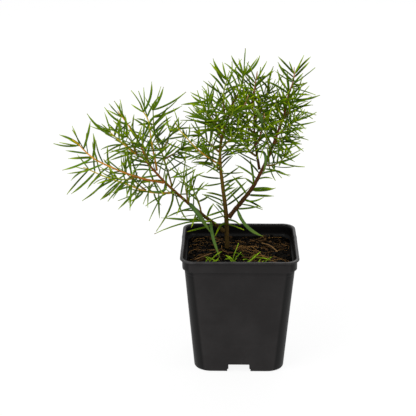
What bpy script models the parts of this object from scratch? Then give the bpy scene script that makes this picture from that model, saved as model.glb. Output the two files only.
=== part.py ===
"""Potted grevillea: a young needle-leaved shrub in a square, thin-walled nursery pot.

The origin is the middle of the pot's underside, on the surface it stands on. +Z is up, the front of
the plant looks along -Y and +X is to its right. Sizes below are millimetres, and every finished mesh
is scaled to metres.
"""

import math
import random
from dataclasses import dataclass, field

import bmesh
import bpy
import numpy as np
from mathutils import Quaternion, Vector

MM = 0.001
GAP = 0.3  # between two pieces that touch

# Pot
RIM_WIDTH = 100.0
POT_HEIGHT = 105.0
BASE_WIDTH = 77.0
SHOULDER_WIDTH = 93.2  # the tapered body where it meets the rim band
BAND_WIDTH = 96.4
BAND_HEIGHT = 10.0
LIP_THICKNESS = 1.5
WALL = 1.2
RIM_CORNER = 12.0
BASE_CORNER = 14.0
CORNER_STEPS = 4
FOOT_ROUNDING = 2.6  # radius of the pot's bottom edge
BAND_STEP = 0.4  # half the height of the step from the body to the band
LIP_EDGE = 0.4  # the lip's small outer chamfers
LIP_FLARE = 0.6  # how far the inside opens out at the lip

# Drain pockets, one under the middle of each side
POCKET_WIDTH = 18.0
POCKET_FOOT_WIDTH = 20.0
POCKET_FOOT_HEIGHT = 2.6
POCKET_SLOPE = 0.6  # height over which a pocket narrows above its foot
POCKET_HEIGHT = 7.2
POCKET_DEPTH = 20.0
DRAIN_RADIUS = 3.0
CUT_PAST = 2.0  # how far a cutter runs on past the face it cuts

# Potting mix
MIX_TOP = 94.0
MOUND_HEIGHT = 4.0
MOUND_RADIUS = 22.0
MIX_EDGE = 2.4  # the mix's side ends this far under its nominal top
MIX_RINGS = (0.985, 0.78, 0.55, 0.3)  # loops of the mix's top, as shares of its width
TRUNK_FOOT = (-11.0, 6.0)

# Roots, straws and fallen needles
ROOT_WIDTH = 1.8
ROOT_STEP = 6.0
STRAW_RADIUS = 0.5
NEEDLE_RADIUS = 0.6
LITTER_STEP = 4.0
LITTER_POINT = 0.3  # share of the radius that is left at a straw's end

# Leaves
LEAF_WIDTH = 1.5
LEAF_THICKNESS = 0.5
LEAF_CLEARANCE = 0.2
BEARING_HEIGHT = 1.0  # the short stretch of stem that a pair of leaves grows from
LEAF_TRIES = 60
LEAF_TAPER = 0.35
REACHING_LEAF = 1.1
REACHING_LENGTH = 22.0
BLADES_ON_BEARING = 3
LEAVES_ON_BEARING = 2
GOLDEN_TURN = math.radians(137.5)
RING_TWIST = math.radians(50)  # a stem turns by this from one pair of leaves to the next


@dataclass
class Stem:
    """A stem with its leaves. The route runs along its middle, from its foot to its tip."""

    name: str
    route: list
    girth: tuple = (0.8, 0.45)  # radius at the foot and at the tip
    leaves: int = 11
    length: tuple = (25.0, 19.0)  # of the leaves at the foot and at the tip
    bare: float = 0.08  # share of the stem that bears no leaves, from its foot
    angle: float = 64.0  # degrees between a leaf and the stem at the foot
    reach: list = field(default_factory=list)  # where the tips of its outermost leaves end
    old: list = field(default_factory=list)  # broad leaves: share of the stem, bend, tip, width
    sides: int = 4
    bark: str = "young_bark"
    roots: list = field(default_factory=list)


LIMBS = [
    Stem(
        "trunk_and_leader",
        [(-9, 6, 62), (-10, 6, 80), (-11, 6, 100), (-11, 6, 116), (-12, 6, 132), (-15, 8, 156),
         (-17, 8, 176), (-16, 6, 196), (-12, 5, 209), (-9, 6, 220)],
        girth=(2.5, 0.75), leaves=50, length=(25.0, 22.0), bare=0.36, angle=82.0, sides=6, bark="old_bark",
        old=[(0.37, (-16, -3, 121), (-21, -5, 112), 1.8)],
        roots=[[(-14, 8, 84), (-24, 14, 74), (-31, 16, 60)], [(-7, 9, 82), (3, 18, 70), (8, 22, 55)],
               [(-7, 3, 80), (4, -8, 66), (12, -12, 50)], [(-13, 2, 78), (-22, -10, 66), (-26, -14, 52)]],
    ),
    Stem(
        "right_limb",
        [(-11, 6, 122), (-7, 5, 129), (2, 4, 141), (11, 3, 154), (18, 5, 167), (24, 9, 179), (31, 13, 197),
         (37, 14, 215), (39, 14, 225)],
        girth=(1.95, 0.75), leaves=34, length=(24.0, 21.0), bare=0.06, angle=75.0, sides=6, bark="old_bark",
        reach=[(29, 0, 147), (31, 10, 151), (29, 18, 148), (20, -6, 148), (18, 10, 135)],
        old=[(0.08, (6, -4, 121), (20, -10, 114), 2.4)],
    ),
    Stem(
        "left_limb",
        [(-11, 6, 111), (-22, 3, 121), (-38, -3, 136), (-53, -7, 151), (-64, -8, 162), (-73, -7, 172),
         (-80, -6, 180)],
        girth=(1.6, 0.85), leaves=24, length=(23.0, 22.0), bare=0.08, angle=70.0, sides=6, bark="old_bark",
        reach=[(-63, -18, 160)],
        old=[(0.46, (-36, -16, 137), (-25, -14, 119), 3.2), (0.12, (-23, -12, 115), (-17, -18, 98), 2.2),
             (0.12, (-46, -2, 126), (-67, -6, 129), 1.6), (0.16, (-46, -6, 125), (-73, -10, 116), 1.7),
             (0.66, (-58, -16, 144), (-71, -18, 121), 1.8), (0.58, (-50, -14, 138), (-45, -12, 130), 1.6),
             (0.5, (-50, -10, 142), (-54, -8, 132), 1.5), (0.68, (-66, -14, 155), (-77, -14, 156), 1.9),
             (0.55, (-41, -14, 152), (-30, -12, 155), 2.0)],
    ),
    Stem(
        "middle_branch",
        [(17, 5, 166), (15, 10, 178), (13, 14, 188), (12, 16, 200), (12, 15, 212), (10, 14, 224)],
        girth=(1.1, 0.6), leaves=12, length=(24.0, 21.0), angle=65.0, bark="old_bark",
        old=[(0.5, (21, -14, 187), (19, -12, 169), 2.2)],
    ),
]

SHOOTS = [
    # The crown, round the top of the leader
    Stem("crown_shoot_1", [(-12, 5, 210), (-14, 2, 224), (-14, -2, 238), (-11, -3, 250)],
         reach=[(-23, -6, 267), (-22, 2, 261), (-25, -14, 265), (-8, -10, 266)]),
    Stem("crown_shoot_2", [(-9, 6, 221), (-5, 8, 229), (1, 9, 241), (3, 7, 252)],
         reach=[(4, 8, 273), (-8, 3, 268), (16, 12, 266), (7, 16, 260)]),
    Stem("crown_shoot_3", [(-15, 6, 200), (-21, 1, 210), (-26, -3, 218), (-30, -5, 224)],
         reach=[(-43, -8, 227), (-43, -2, 220), (-41, -12, 218), (-44, 2, 206)]),
    Stem("crown_shoot_4", [(-14, 5, 205), (-20, 11, 215), (-24, 15, 222), (-28, 18, 227)],
         reach=[(-33, 20, 238), (-42, 26, 229), (-50, 16, 223)]),
    Stem("crown_shoot_5", [(-17, 7, 186), (-12, -2, 194), (-6, -10, 202), (-1, -16, 209)]),
    Stem("crown_shoot_6", [(-17, 7, 183), (-23, 13, 187), (-29, 19, 191), (-35, 22, 195)]),
    Stem("crown_shoot_7", [(-10, 5, 216), (-4, -3, 221), (2, -9, 227), (5, -13, 234)], bark="pink_bark"),
    Stem("crown_shoot_8", [(-16, 7, 194), (-11, 19, 202), (-5, 29, 208), (0, 36, 214)]),
    Stem("crown_shoot_9", [(-16, 7, 197), (-22, 18, 201), (-28, 27, 204), (-33, 33, 208)]),
    Stem("crown_shoot_10", [(-13, 5, 207), (-11, -6, 214), (-8, -16, 221), (-6, -22, 228)]),
    Stem("leader_twig", [(-17, 8, 173), (-22, 2, 177), (-33, -5, 187), (-42, -8, 197), (-52, -9, 209)],
         girth=(0.75, 0.5), leaves=14, length=(17.0, 9.0), angle=60.0, bark="yellow_bark"),
    Stem("leader_spur", [(-17, 8, 168), (-22, 15, 170), (-26, 20, 174), (-29, 23, 180)], leaves=7,
         length=(18.0, 13.0)),
    # Round the middle branch
    Stem("middle_shoot_1", [(10, 14, 225), (11, 13, 232), (13, 10, 247)], reach=[(16, 0, 259), (3, 16, 243)],
         bark="pink_bark"),
    Stem("middle_shoot_2", [(12, 16, 208), (17, 20, 216), (21, 24, 225), (25, 24, 234)],
         reach=[(28, 26, 254), (36, 32, 238)]),
    Stem("middle_shoot_3", [(12, 16, 198), (7, 8, 205), (3, 1, 212), (0, -4, 218)]),
    Stem("middle_shoot_4", [(13, 14, 188), (16, 0, 198), (18, -12, 210), (19, -19, 220)], bark="pink_bark",
         leaves=12, old=[(0.5, (17, -27, 222), (11, -28, 229), 2.2)]),
    Stem("middle_shoot_5", [(14, 11, 179), (8, 17, 182), (4, 22, 187), (0, 25, 193)]),
    Stem("middle_shoot_6", [(12, 16, 203), (14, 29, 207), (16, 38, 212), (18, 44, 218)]),
    # Round the right limb
    Stem("right_shoot_1", [(39, 14, 226), (41, 14, 234), (44, 12, 244), (45, 12, 252)], bark="pink_bark",
         reach=[(31, 10, 261), (31, 18, 253), (51, 10, 249), (56, 14, 243)]),
    Stem("right_shoot_2", [(37, 14, 214), (32, 8, 221), (29, 2, 232)]),
    Stem("right_shoot_3", [(36, 14, 210), (40, 10, 217), (44, 6, 226), (46, 5, 231)],
         reach=[(66, 2, 235), (60, 14, 227), (52, 0, 246)]),
    Stem("right_shoot_4", [(31, 13, 197), (36, 7, 203), (40, 2, 208), (45, -2, 214)],
         reach=[(63, -6, 222), (53, -12, 226), (53, 6, 205)]),
    Stem("right_shoot_5", [(27, 11, 188), (33, 18, 191), (38, 23, 193), (42, 26, 196)],
         reach=[(54, 24, 193), (54, 32, 184)]),
    Stem("right_shoot_6", [(21, 7, 173), (26, 1, 174), (32, -5, 178), (38, -9, 185)], leaves=10,
         reach=[(50, -8, 187), (54, -12, 177), (42, -16, 171), (30, -10, 164)], angle=65.0),
    Stem("right_shoot_7", [(26, 10, 184), (23, -2, 195), (21, -12, 203), (20, -19, 211)]),
    Stem("right_shoot_8", [(30, 12, 193), (27, 25, 198), (25, 34, 203), (25, 41, 209)]),
    Stem("right_shoot_9", [(34, 14, 205), (37, 25, 208), (40, 33, 212), (43, 38, 217)]),
    # The left limb's twigs
    Stem("left_tip_twig", [(-80, -6, 181), (-89, -5, 186), (-100, -6, 196), (-110, -8, 206)], leaves=12,
         reach=[(-127, -12, 222), (-124, 0, 211)], bark="yellow_bark"),
    Stem("left_upper_twig", [(-70, -7, 170), (-72, -5, 182), (-75, -2, 197), (-77, 1, 212), (-82, 3, 221)],
         leaves=14, reach=[(-91, 0, 239), (-86, 10, 236), (-74, 0, 246)], bark="yellow_bark"),
    Stem("left_inner_twig", [(-57, -8, 156), (-61, 1, 167), (-67, 13, 182), (-73, 16, 197), (-74, 14, 220)],
         leaves=16, reach=[(-65, 16, 238), (-46, 12, 235), (-54, 20, 226), (-62, 24, 219), (-49, 8, 224),
                           (-53, 22, 203)]),
    Stem("left_lower_twig",
         [(-63, -8, 161), (-71, -14, 164), (-84, -20, 169), (-102, -21, 176), (-122, -18, 185),
          (-135, -16, 197)],
         leaves=22, reach=[(-155, -18, 198), (-151, -10, 203), (-148, -22, 176), (-144, -12, 183),
                           (-139, -20, 210), (-124, -12, 215), (-123, -8, 204)],
         girth=(0.95, 0.5), bark="orange_bark"),
    Stem("left_hanging_twig",
         [(-54, -7, 152), (-65, 4, 148), (-82, 18, 145), (-98, 25, 149), (-116, 29, 154), (-133, 28, 162)],
         leaves=22, reach=[(-152, 30, 138), (-147, 22, 141), (-139, 34, 131), (-122, 24, 135),
                           (-123, 34, 131), (-106, 20, 128), (-98, 30, 131)],
         girth=(0.95, 0.5), bark="yellow_bark"),
    Stem("left_shoot_1", [(-79, -6, 180), (-83, 2, 188), (-90, 9, 199), (-101, 13, 214)], leaves=10,
         reach=[(-115, 14, 221), (-106, 8, 228)], bark="orange_bark"),
    Stem("left_shoot_2", [(-76, -7, 177), (-79, -18, 189), (-80, -26, 197), (-81, -32, 206)],
         reach=[(-73, -38, 224), (-90, -40, 220)]),
    Stem("left_shoot_3", [(-65, 11, 176), (-59, 17, 178), (-54, 21, 180), (-49, 24, 184)],
         reach=[(-38, 30, 188), (-40, 28, 175)]),
    Stem("left_shoot_4", [(-67, 14, 183), (-64, 22, 186), (-62, 28, 190), (-60, 33, 196)]),
    Stem("left_shoot_5", [(-44, -5, 142), (-45, -12, 153), (-46, -17, 163), (-48, -20, 171)], leaves=7),
    Stem("left_shoot_6", [(-33, -1, 132), (-35, 8, 138), (-38, 14, 143), (-42, 18, 149)], leaves=7,
         length=(20.0, 15.0)),
    Stem("left_shoot_7", [(-91, -5, 188), (-96, 4, 190), (-100, 12, 193), (-104, 18, 199)]),
    Stem("left_shoot_8", [(-86, -6, 184), (-88, -15, 192), (-90, -23, 201), (-93, -29, 208)]),
    Stem("left_shoot_9", [(-86, -20, 170), (-91, -27, 170), (-97, -32, 171), (-103, -35, 174)], leaves=7),
    Stem("left_shoot_10", [(-80, 17, 145), (-87, 27, 147), (-94, 34, 151), (-101, 38, 156)], leaves=7),
]

FINISHES = {
    "pot_plastic": ((0.026, 0.025, 0.027, 1.0), 0.42),
    "potting_mix": ((0.022, 0.014, 0.009, 1.0), 0.95),
    "old_bark": ((0.12, 0.06, 0.03, 1.0), 0.85),
    "young_bark": ((0.16, 0.17, 0.05, 1.0), 0.7),
    "yellow_bark": ((0.32, 0.26, 0.06, 1.0), 0.7),
    "orange_bark": ((0.38, 0.2, 0.07, 1.0), 0.7),
    "pink_bark": ((0.3, 0.13, 0.11, 1.0), 0.7),
    "dry_straw": ((0.3, 0.2, 0.1, 1.0), 0.85),
    "grass_green": ((0.13, 0.28, 0.03, 1.0), 0.6),
}


def clear_scene():
    """Removes whatever the startup scene holds."""
    for thing in list(bpy.data.objects):
        bpy.data.objects.remove(thing, do_unlink=True)


def finish(name):
    """The Principled material of one finish, made the first time it is asked for."""
    if name in bpy.data.materials:
        return bpy.data.materials[name]
    colour, roughness = FINISHES[name]
    made = bpy.data.materials.new(name)
    made.use_nodes = True
    shader = made.node_tree.nodes["Principled BSDF"]
    shader.inputs["Base Color"].default_value = colour
    shader.inputs["Roughness"].default_value = roughness
    shader.inputs["Metallic"].default_value = 0.0
    return made


def add_object(name, bm, finish_name=None):
    """Scales a mesh from millimetres, points its faces outwards and puts it in the scene."""
    if bm.calc_volume(signed=True) < 0:
        bmesh.ops.reverse_faces(bm, faces=bm.faces)
    bmesh.ops.scale(bm, vec=(MM, MM, MM), verts=bm.verts)
    mesh = bpy.data.meshes.new(name)
    bm.to_mesh(mesh)
    bm.free()
    mesh.shade_smooth()
    mesh.set_sharp_from_angle(angle=math.radians(40))
    thing = bpy.data.objects.new(name, mesh)
    bpy.context.scene.collection.objects.link(thing)
    if finish_name:
        mesh.materials.append(finish(finish_name))
    return thing


def as_cutter(thing):
    """Keeps a helper out of the built object."""
    thing.hide_render = True
    thing.display_type = "WIRE"
    return thing


def cut(thing, cutter):
    """Takes the cutter's shape out of a piece."""
    modifier = thing.modifiers.new("cut " + cutter.name, "BOOLEAN")
    modifier.operation = "DIFFERENCE"
    modifier.solver = "EXACT"
    modifier.object = cutter


# ---------------------------------------------------------------- pot and potting mix


def square_loop(bm, width, corner, z):
    """The vertices of one level square loop with round corners."""
    inner = width / 2 - corner
    loop = []
    for quarter in range(4):
        diagonal = math.radians(45 + 90 * quarter)
        across, ahead = math.cos(diagonal), math.sin(diagonal)
        centre = Vector((math.copysign(inner, across), math.copysign(inner, ahead), z))
        for step in range(CORNER_STEPS + 1):
            angle = math.radians(90 * quarter + 90 * step / CORNER_STEPS)
            loop.append(bm.verts.new(centre + corner * Vector((math.cos(angle), math.sin(angle), 0))))
    return loop


def join_loops(bm, lower, upper):
    """Quads between two loops of equal count."""
    for i in range(len(lower)):
        k = (i + 1) % len(lower)
        bm.faces.new((lower[i], lower[k], upper[k], upper[i]))


def turned_square(name, levels, finish_name=None):
    """A closed solid through square loops, each given as (width, corner radius, height)."""
    bm = bmesh.new()
    loops = [square_loop(bm, *level) for level in levels]
    for lower, upper in zip(loops, loops[1:]):
        join_loops(bm, lower, upper)
    bm.faces.new(reversed(loops[0]))
    bm.faces.new(loops[-1])
    return add_object(name, bm, finish_name)


def body_width(z):
    """Outside width of the tapered body at a height."""
    return BASE_WIDTH + (SHOULDER_WIDTH - BASE_WIDTH) * z / (POT_HEIGHT - BAND_HEIGHT)


def body_corner(z):
    """Outside corner radius of the body at a height."""
    return BASE_CORNER + (RIM_CORNER - BASE_CORNER) * z / POT_HEIGHT


def wall_levels(inset, bottom, top):
    """The body's loops, moved inwards by an inset, from a rounded bottom edge to a top height."""
    rounding = FOOT_ROUNDING
    foot = body_width(bottom) - 2 * inset
    corner = body_corner(bottom) - inset
    return [
        (foot - 2 * rounding, corner, bottom),
        (foot - 0.8 * rounding, corner, bottom + 0.25 * rounding),
        (body_width(bottom + rounding) - 2 * inset, corner, bottom + rounding),
        (body_width(top) - 2 * inset, body_corner(top) - inset, top),
    ]


def pocket_cutter(name, grow):
    """The drain pockets of all four sides, enlarged by grow for the walls that stand round them."""
    bm = bmesh.new()
    foot, neck = POCKET_FOOT_WIDTH / 2 + grow, POCKET_WIDTH / 2 + grow
    shelf = POCKET_FOOT_HEIGHT + POCKET_SLOPE + grow
    right = [(foot, -CUT_PAST), (foot, POCKET_FOOT_HEIGHT), (neck, shelf), (neck, POCKET_HEIGHT + grow)]
    outline = right + [(-across, z) for across, z in reversed(right)]
    near = BASE_WIDTH / 2 - POCKET_DEPTH - grow
    far = SHOULDER_WIDTH / 2
    for quarter in range(4):
        turn = math.radians(90 * quarter)
        ends = []
        for distance in (near, far):
            ends.append([
                bm.verts.new((across * math.cos(turn) - distance * math.sin(turn),
                              across * math.sin(turn) + distance * math.cos(turn), z))
                for across, z in outline
            ])
        join_loops(bm, *ends)
        bm.faces.new(reversed(ends[0]))
        bm.faces.new(ends[1])
    return as_cutter(add_object(name, bm))


def drain_cutter():
    """A round drain hole through the ceiling of each pocket."""
    bm = bmesh.new()
    distance = BASE_WIDTH / 2 - POCKET_DEPTH / 2
    for quarter in range(4):
        turn = math.radians(90 * quarter)
        hole = bmesh.ops.create_cone(bm, cap_ends=True, segments=16, radius1=DRAIN_RADIUS,
                                     radius2=DRAIN_RADIUS, depth=WALL + CUT_PAST)
        place = Vector((-distance * math.sin(turn), distance * math.cos(turn), POCKET_HEIGHT + WALL / 2))
        bmesh.ops.translate(bm, verts=hole["verts"], vec=place)
    return as_cutter(add_object("drain_cutter", bm))


def build_pot():
    """A tapered square tub with a rim band, a turned-out lip and a pocket under each side."""
    shoulder = POT_HEIGHT - BAND_HEIGHT
    under_lip = POT_HEIGHT - LIP_THICKNESS
    draft = 0.6  # the band widens by this towards the lip
    pot = turned_square("pot", wall_levels(0.0, 0.0, shoulder - BAND_STEP) + [
        (BAND_WIDTH - draft, RIM_CORNER, shoulder + BAND_STEP),
        (BAND_WIDTH, RIM_CORNER, under_lip - LIP_EDGE),
        (RIM_WIDTH - LIP_EDGE, RIM_CORNER, under_lip),
        (RIM_WIDTH, RIM_CORNER, under_lip + LIP_EDGE),
        (RIM_WIDTH, RIM_CORNER, POT_HEIGHT - LIP_EDGE),
        (RIM_WIDTH - 2 * LIP_EDGE, RIM_CORNER, POT_HEIGHT),
    ], "pot_plastic")
    inside = BAND_WIDTH - 2 * WALL
    corner = RIM_CORNER - WALL
    hollow = turned_square("pot_hollow", wall_levels(WALL, WALL, shoulder - 2 * BAND_STEP) + [
        (inside - draft, corner, shoulder + BAND_STEP / 2),
        (inside, corner, POT_HEIGHT - LIP_EDGE),
        (inside + 2 * LIP_FLARE, corner, POT_HEIGHT + LIP_EDGE),
        (inside + 2 * LIP_FLARE, corner, POT_HEIGHT + CUT_PAST),
    ])
    cut(as_cutter(hollow), pocket_cutter("pocket_walls", WALL))
    cut(pot, hollow)
    cut(pot, pocket_cutter("pockets", 0.0))
    cut(pot, drain_cutter())


def mix_height(x, y):
    """Height of the uneven top of the potting mix, which rises towards the trunk."""
    ripple = 0.7 * math.sin(0.21 * x + 0.9) * math.cos(0.17 * y) + 0.5 * math.sin(0.34 * y + 0.12 * x)
    from_trunk = math.hypot(x - TRUNK_FOOT[0], y - TRUNK_FOOT[1])
    return MIX_TOP + ripple + MOUND_HEIGHT * math.exp(-(from_trunk / MOUND_RADIUS) ** 2)


def build_potting_mix(foot_cutters):
    """The mix fills the pot up to the band, round the pockets and the trunk's foot and roots."""
    bm = bmesh.new()
    clear = WALL + GAP
    loops = [square_loop(bm, *level) for level in wall_levels(clear, clear, MIX_TOP - MIX_EDGE)]
    width = body_width(MIX_TOP - MIX_EDGE) - 2 * clear
    for share in MIX_RINGS:
        loop = square_loop(bm, width * share, (RIM_CORNER - clear) * share, 0.0)
        for vertex in loop:
            vertex.co.z = mix_height(vertex.co.x, vertex.co.y)
        loops.append(loop)
    for lower, upper in zip(loops, loops[1:]):
        join_loops(bm, lower, upper)
    bm.faces.new(reversed(loops[0]))
    crown = bmesh.ops.poke(bm, faces=[bm.faces.new(loops[-1])])["verts"][0]
    crown.co.z = mix_height(0.0, 0.0)
    mix = add_object("potting_mix", bm, "potting_mix")
    cut(mix, pocket_cutter("pocket_clearance", WALL + GAP))
    for cutter in foot_cutters:
        cut(mix, cutter)


# ---------------------------------------------------------------- stems and leaves


def smooth_path(route, step=0.6):
    """Points along the Catmull-Rom curve through a route."""
    knots = [Vector(point) for point in route]
    knots = [2 * knots[0] - knots[1], *knots, 2 * knots[-1] - knots[-2]]
    path = []
    for a, b, c, d in zip(knots, knots[1:], knots[2:], knots[3:]):
        count = max(2, round((c - b).length / step))
        for i in range(count):
            t = i / count
            path.append(0.5 * (2 * b + (c - a) * t + (2 * a - 5 * b + 4 * c - d) * t**2
                               + (3 * b - a - 3 * c + d) * t**3))
    path.append(knots[-2])
    return path


def segment_gaps(start, end, starts, ends):
    """Shortest distance from one segment to each of many, all as arrays."""
    u, v, w = end - start, ends - starts, start - starts
    a = u @ u
    b = v @ u
    c = np.maximum((v * v).sum(1), 1e-9)
    d, e = w @ u, (v * w).sum(1)
    s = np.clip(np.where(a * c - b * b > 1e-9, (b * e - c * d) / np.maximum(a * c - b * b, 1e-9), 0.0), 0, 1)
    t = np.clip((b * s + e) / c, 0, 1)
    s = np.clip((b * t - d) / max(a, 1e-9), 0, 1)
    return np.linalg.norm(w + s[:, None] * u - t[:, None] * v, axis=1)


class Thicket:
    """The space that stems and leaves already take, as thick segments, so that new ones stay clear."""

    def __init__(self):
        self.starts, self.ends, self.radii, self.owners = [], [], [], []
        self.packed = None

    def add(self, points, radius, owner):
        for start, end in zip(points, points[1:]):
            self.starts.append(tuple(start))
            self.ends.append(tuple(end))
            self.radii.append(radius)
            self.owners.append(owner)
        self.packed = None

    def room(self, points, radius, owner=None):
        """Smallest gap between a line of points and what others hold, or negative where they cross."""
        if not self.starts:
            return math.inf
        if self.packed is None:
            held = (self.starts, self.ends, self.radii, self.owners)
            self.packed = tuple(np.array(values) for values in held)
        starts, ends, radii, owners = self.packed
        other = owners != owner
        least = math.inf
        for start, end in zip(points, points[1:]):
            gaps = segment_gaps(np.array(start), np.array(end), starts[other], ends[other])
            least = min(least, (gaps - radii[other] - radius).min(initial=math.inf))
        return least


class GrownStem:
    """A stem worked out along its path, with a place for each pair of leaves."""

    def __init__(self, stem, thicket):
        self.stem = stem
        self.path = smooth_path(stem.route)
        while thicket.room(self.path[:4], stem.girth[0]) < GAP + 0.2:
            self.path.pop(0)
        for start, end in zip(self.path[::4], self.path[4::4] + [self.path[-1]]):
            thicket.add([start, end], self.radius_at(start), stem.name)
        self.blades = {}
        self.place_rings()

    def radius_at(self, point):
        """Radius of the stem beside one of its path's points."""
        share = self.path.index(point) / (len(self.path) - 1)
        foot, tip = self.stem.girth
        return foot + (tip - foot) * share

    def place_rings(self):
        """Rings at the foot, on both sides of each bearing stretch, and at the tip."""
        last = len(self.path) - 1
        step = sum((b - a).length for a, b in zip(self.path, self.path[1:])) / last
        pairs = math.ceil((self.stem.leaves + len(self.stem.reach) + len(self.stem.old)) / 2)
        half = BEARING_HEIGHT / 2 / step
        first, end = last * self.stem.bare + 2 * half, last - 2.5 * half
        self.bearings = [first + (end - first) * i / max(1, pairs - 1) for i in range(pairs)]
        shares = {0.0, float(last)}
        root_heights = [root[0][2] for root in self.stem.roots]
        for height in root_heights:
            self.bearings.append(min(range(last), key=lambda i: abs(self.path[i].z - height)))
        self.bearings.sort()
        for bearing in self.bearings:
            shares |= {bearing - half, bearing + half}
        self.rings = []
        side = Vector((0.0, 1.0, 0.0))
        for number, share in enumerate(sorted(shares)):
            i = min(int(share), last - 1)
            centre = self.path[i].lerp(self.path[i + 1], share - i)
            along = (self.path[min(i + 3, last)] - self.path[max(i - 2, 0)]).normalized()
            side = (side - side.dot(along) * along).normalized()
            if number % 2:
                side = Quaternion(along, RING_TWIST) @ side
            foot, tip = self.stem.girth
            self.rings.append((centre, along, side.copy(), foot + (tip - foot) * share / last))

    def seat(self, index, facing):
        """Middle, outward direction, stem direction and side number of the bearing side that faces a way."""
        ring = 2 * index + 1
        centre, along, side, radius = self.rings[ring]
        centre = centre.lerp(self.rings[ring + 1][0], 0.5)
        other = along.cross(side)
        best = None
        for k in range(self.stem.sides):
            turn = 2 * math.pi * (k + 0.5) / self.stem.sides
            outward = math.cos(turn) * side + math.sin(turn) * other
            if (index, k) not in self.blades and (best is None or outward.dot(facing) > best[1].dot(facing)):
                best = (k, outward)
        k, outward = best
        inside = radius * math.cos(math.pi / self.stem.sides)
        return centre + inside * outward, outward, along, k


def arc(base, control, end, count):
    """Points of the quadratic curve that leaves base towards control and stops at end."""
    points = []
    for i in range(count + 1):
        t = i / count
        points.append((1 - t) ** 2 * base + 2 * t * (1 - t) * control + t**2 * end)
    return points


def meets_pot(points):
    """Whether a leaf dips into the pot's wall or the potting mix."""
    for point in points:
        over = max(abs(point.x), abs(point.y)) < RIM_WIDTH / 2 + 2
        inside = max(abs(point.x), abs(point.y)) < BAND_WIDTH / 2 - 5
        floor = mix_height(point.x, point.y) + 1.5 if inside else POT_HEIGHT + 2
        if over and point.z < floor:
            return True
    return False


def try_leaf(grown, index, facing, make_end, rings, width, thicket, rng):
    """Adds the first leaf on a bearing that is clear of everything, with a little more play at each try."""
    name = grown.stem.name
    for attempt in range(LEAF_TRIES):
        play = attempt / LEAF_TRIES
        wander = Vector([rng.uniform(-1, 1) for _ in range(3)])
        base, outward, along, side = grown.seat(index, facing + play * wander)
        end, control = make_end(base, outward, along, play, wander)
        points = arc(base, control, end, rings + 1)
        if meets_pot(arc(base, control, end, 6)[2:]):
            continue
        outer = [points[0].lerp(points[1], 0.4), *points[1:]]
        clear_of_all = thicket.room(outer, width / 2) >= LEAF_CLEARANCE
        if clear_of_all and thicket.room(points[:2], width / 2, name) >= LEAF_CLEARANCE:
            thicket.add([points[0].lerp(points[1], 0.15), *points[1:]], width / 2, name)
            grown.blades[(index, side)] = (points[1:], width, LEAF_THICKNESS)
            return True
    return False


def grow_old_leaves(grown, thicket, rng):
    """The broad old leaves, each through a bend of its own."""
    last = len(grown.path) - 1
    for share, bend, tip, width in grown.stem.old:
        bend, tip = Vector(bend), Vector(tip)

        def make_end(base, outward, along, play, wander):
            end = tip + 5 * play * wander
            return end, 2 * bend - (base + end) / 2

        order = sorted(range(len(grown.bearings)), key=lambda i: abs(grown.bearings[i] / last - share))
        for index in order[:4]:
            facing = (bend - grown.rings[2 * index + 1][0]).normalized()
            if try_leaf(grown, index, facing, make_end, 2, width, thicket, rng):
                break


def grow_reaching_leaves(grown, thicket, rng):
    """The outermost leaves, which end at the stem's reach points."""
    for target in grown.stem.reach:
        target = Vector(target)

        def cost(index):
            centre, along = grown.rings[2 * index + 1][:2]
            length = (target - centre).length
            slope = (target - centre).normalized().dot(along)
            return abs(length - REACHING_LENGTH) + 12 * abs(slope - 0.6)

        def make_end(base, outward, along, play, wander):
            heading = ((target - base).normalized() + 0.5 * outward + 0.15 * wander).normalized()
            end = target + 5 * play * wander
            return end, base + heading * (end - base).length / 2

        order = sorted(range(len(grown.bearings)), key=cost)
        for index in order[:4]:
            if sum(place[0] == index for place in grown.blades) >= BLADES_ON_BEARING:
                continue
            facing = (target - grown.rings[2 * index + 1][0]).normalized()
            if try_leaf(grown, index, facing, make_end, 2, LEAF_WIDTH * REACHING_LEAF, thicket, rng):
                break


def grow_leaves(grown, thicket, rng):
    """The stem's other leaves, two to a bearing, each pair turned on from the last."""
    stem = grown.stem
    turn = rng.uniform(0, 2 * math.pi)
    for index in range(len(grown.bearings)):
        centre, along, side = grown.rings[2 * index + 1][:3]
        if centre.z < POT_HEIGHT + 8:
            continue
        share = index / max(1, len(grown.bearings) - 1)
        other = along.cross(side)
        while sum(place[0] == index for place in grown.blades) < LEAVES_ON_BEARING:
            turn += GOLDEN_TURN
            facing = math.cos(turn) * side + math.sin(turn) * other
            length = (stem.length[0] + (stem.length[1] - stem.length[0]) * share) * rng.uniform(0.85, 1.12)
            lean = math.radians(stem.angle * (1 - 0.35 * share) * rng.uniform(0.8, 1.25))
            lift = rng.uniform(-0.2, 0.3)

            def make_end(base, outward, along, play, wander):
                heading = math.cos(lean) * along + math.sin(lean) * outward
                heading = (heading + (0.1 + 0.8 * play) * wander).normalized()
                drift = heading + 0.35 * (1 - lift) * outward + lift * Vector((0, 0, 1))
                return base + length * drift.normalized(), base + heading * length / 2

            width = LEAF_WIDTH * rng.uniform(0.8, 1.05)
            if not try_leaf(grown, index, facing, make_end, 1, width, thicket, rng):
                break


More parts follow.
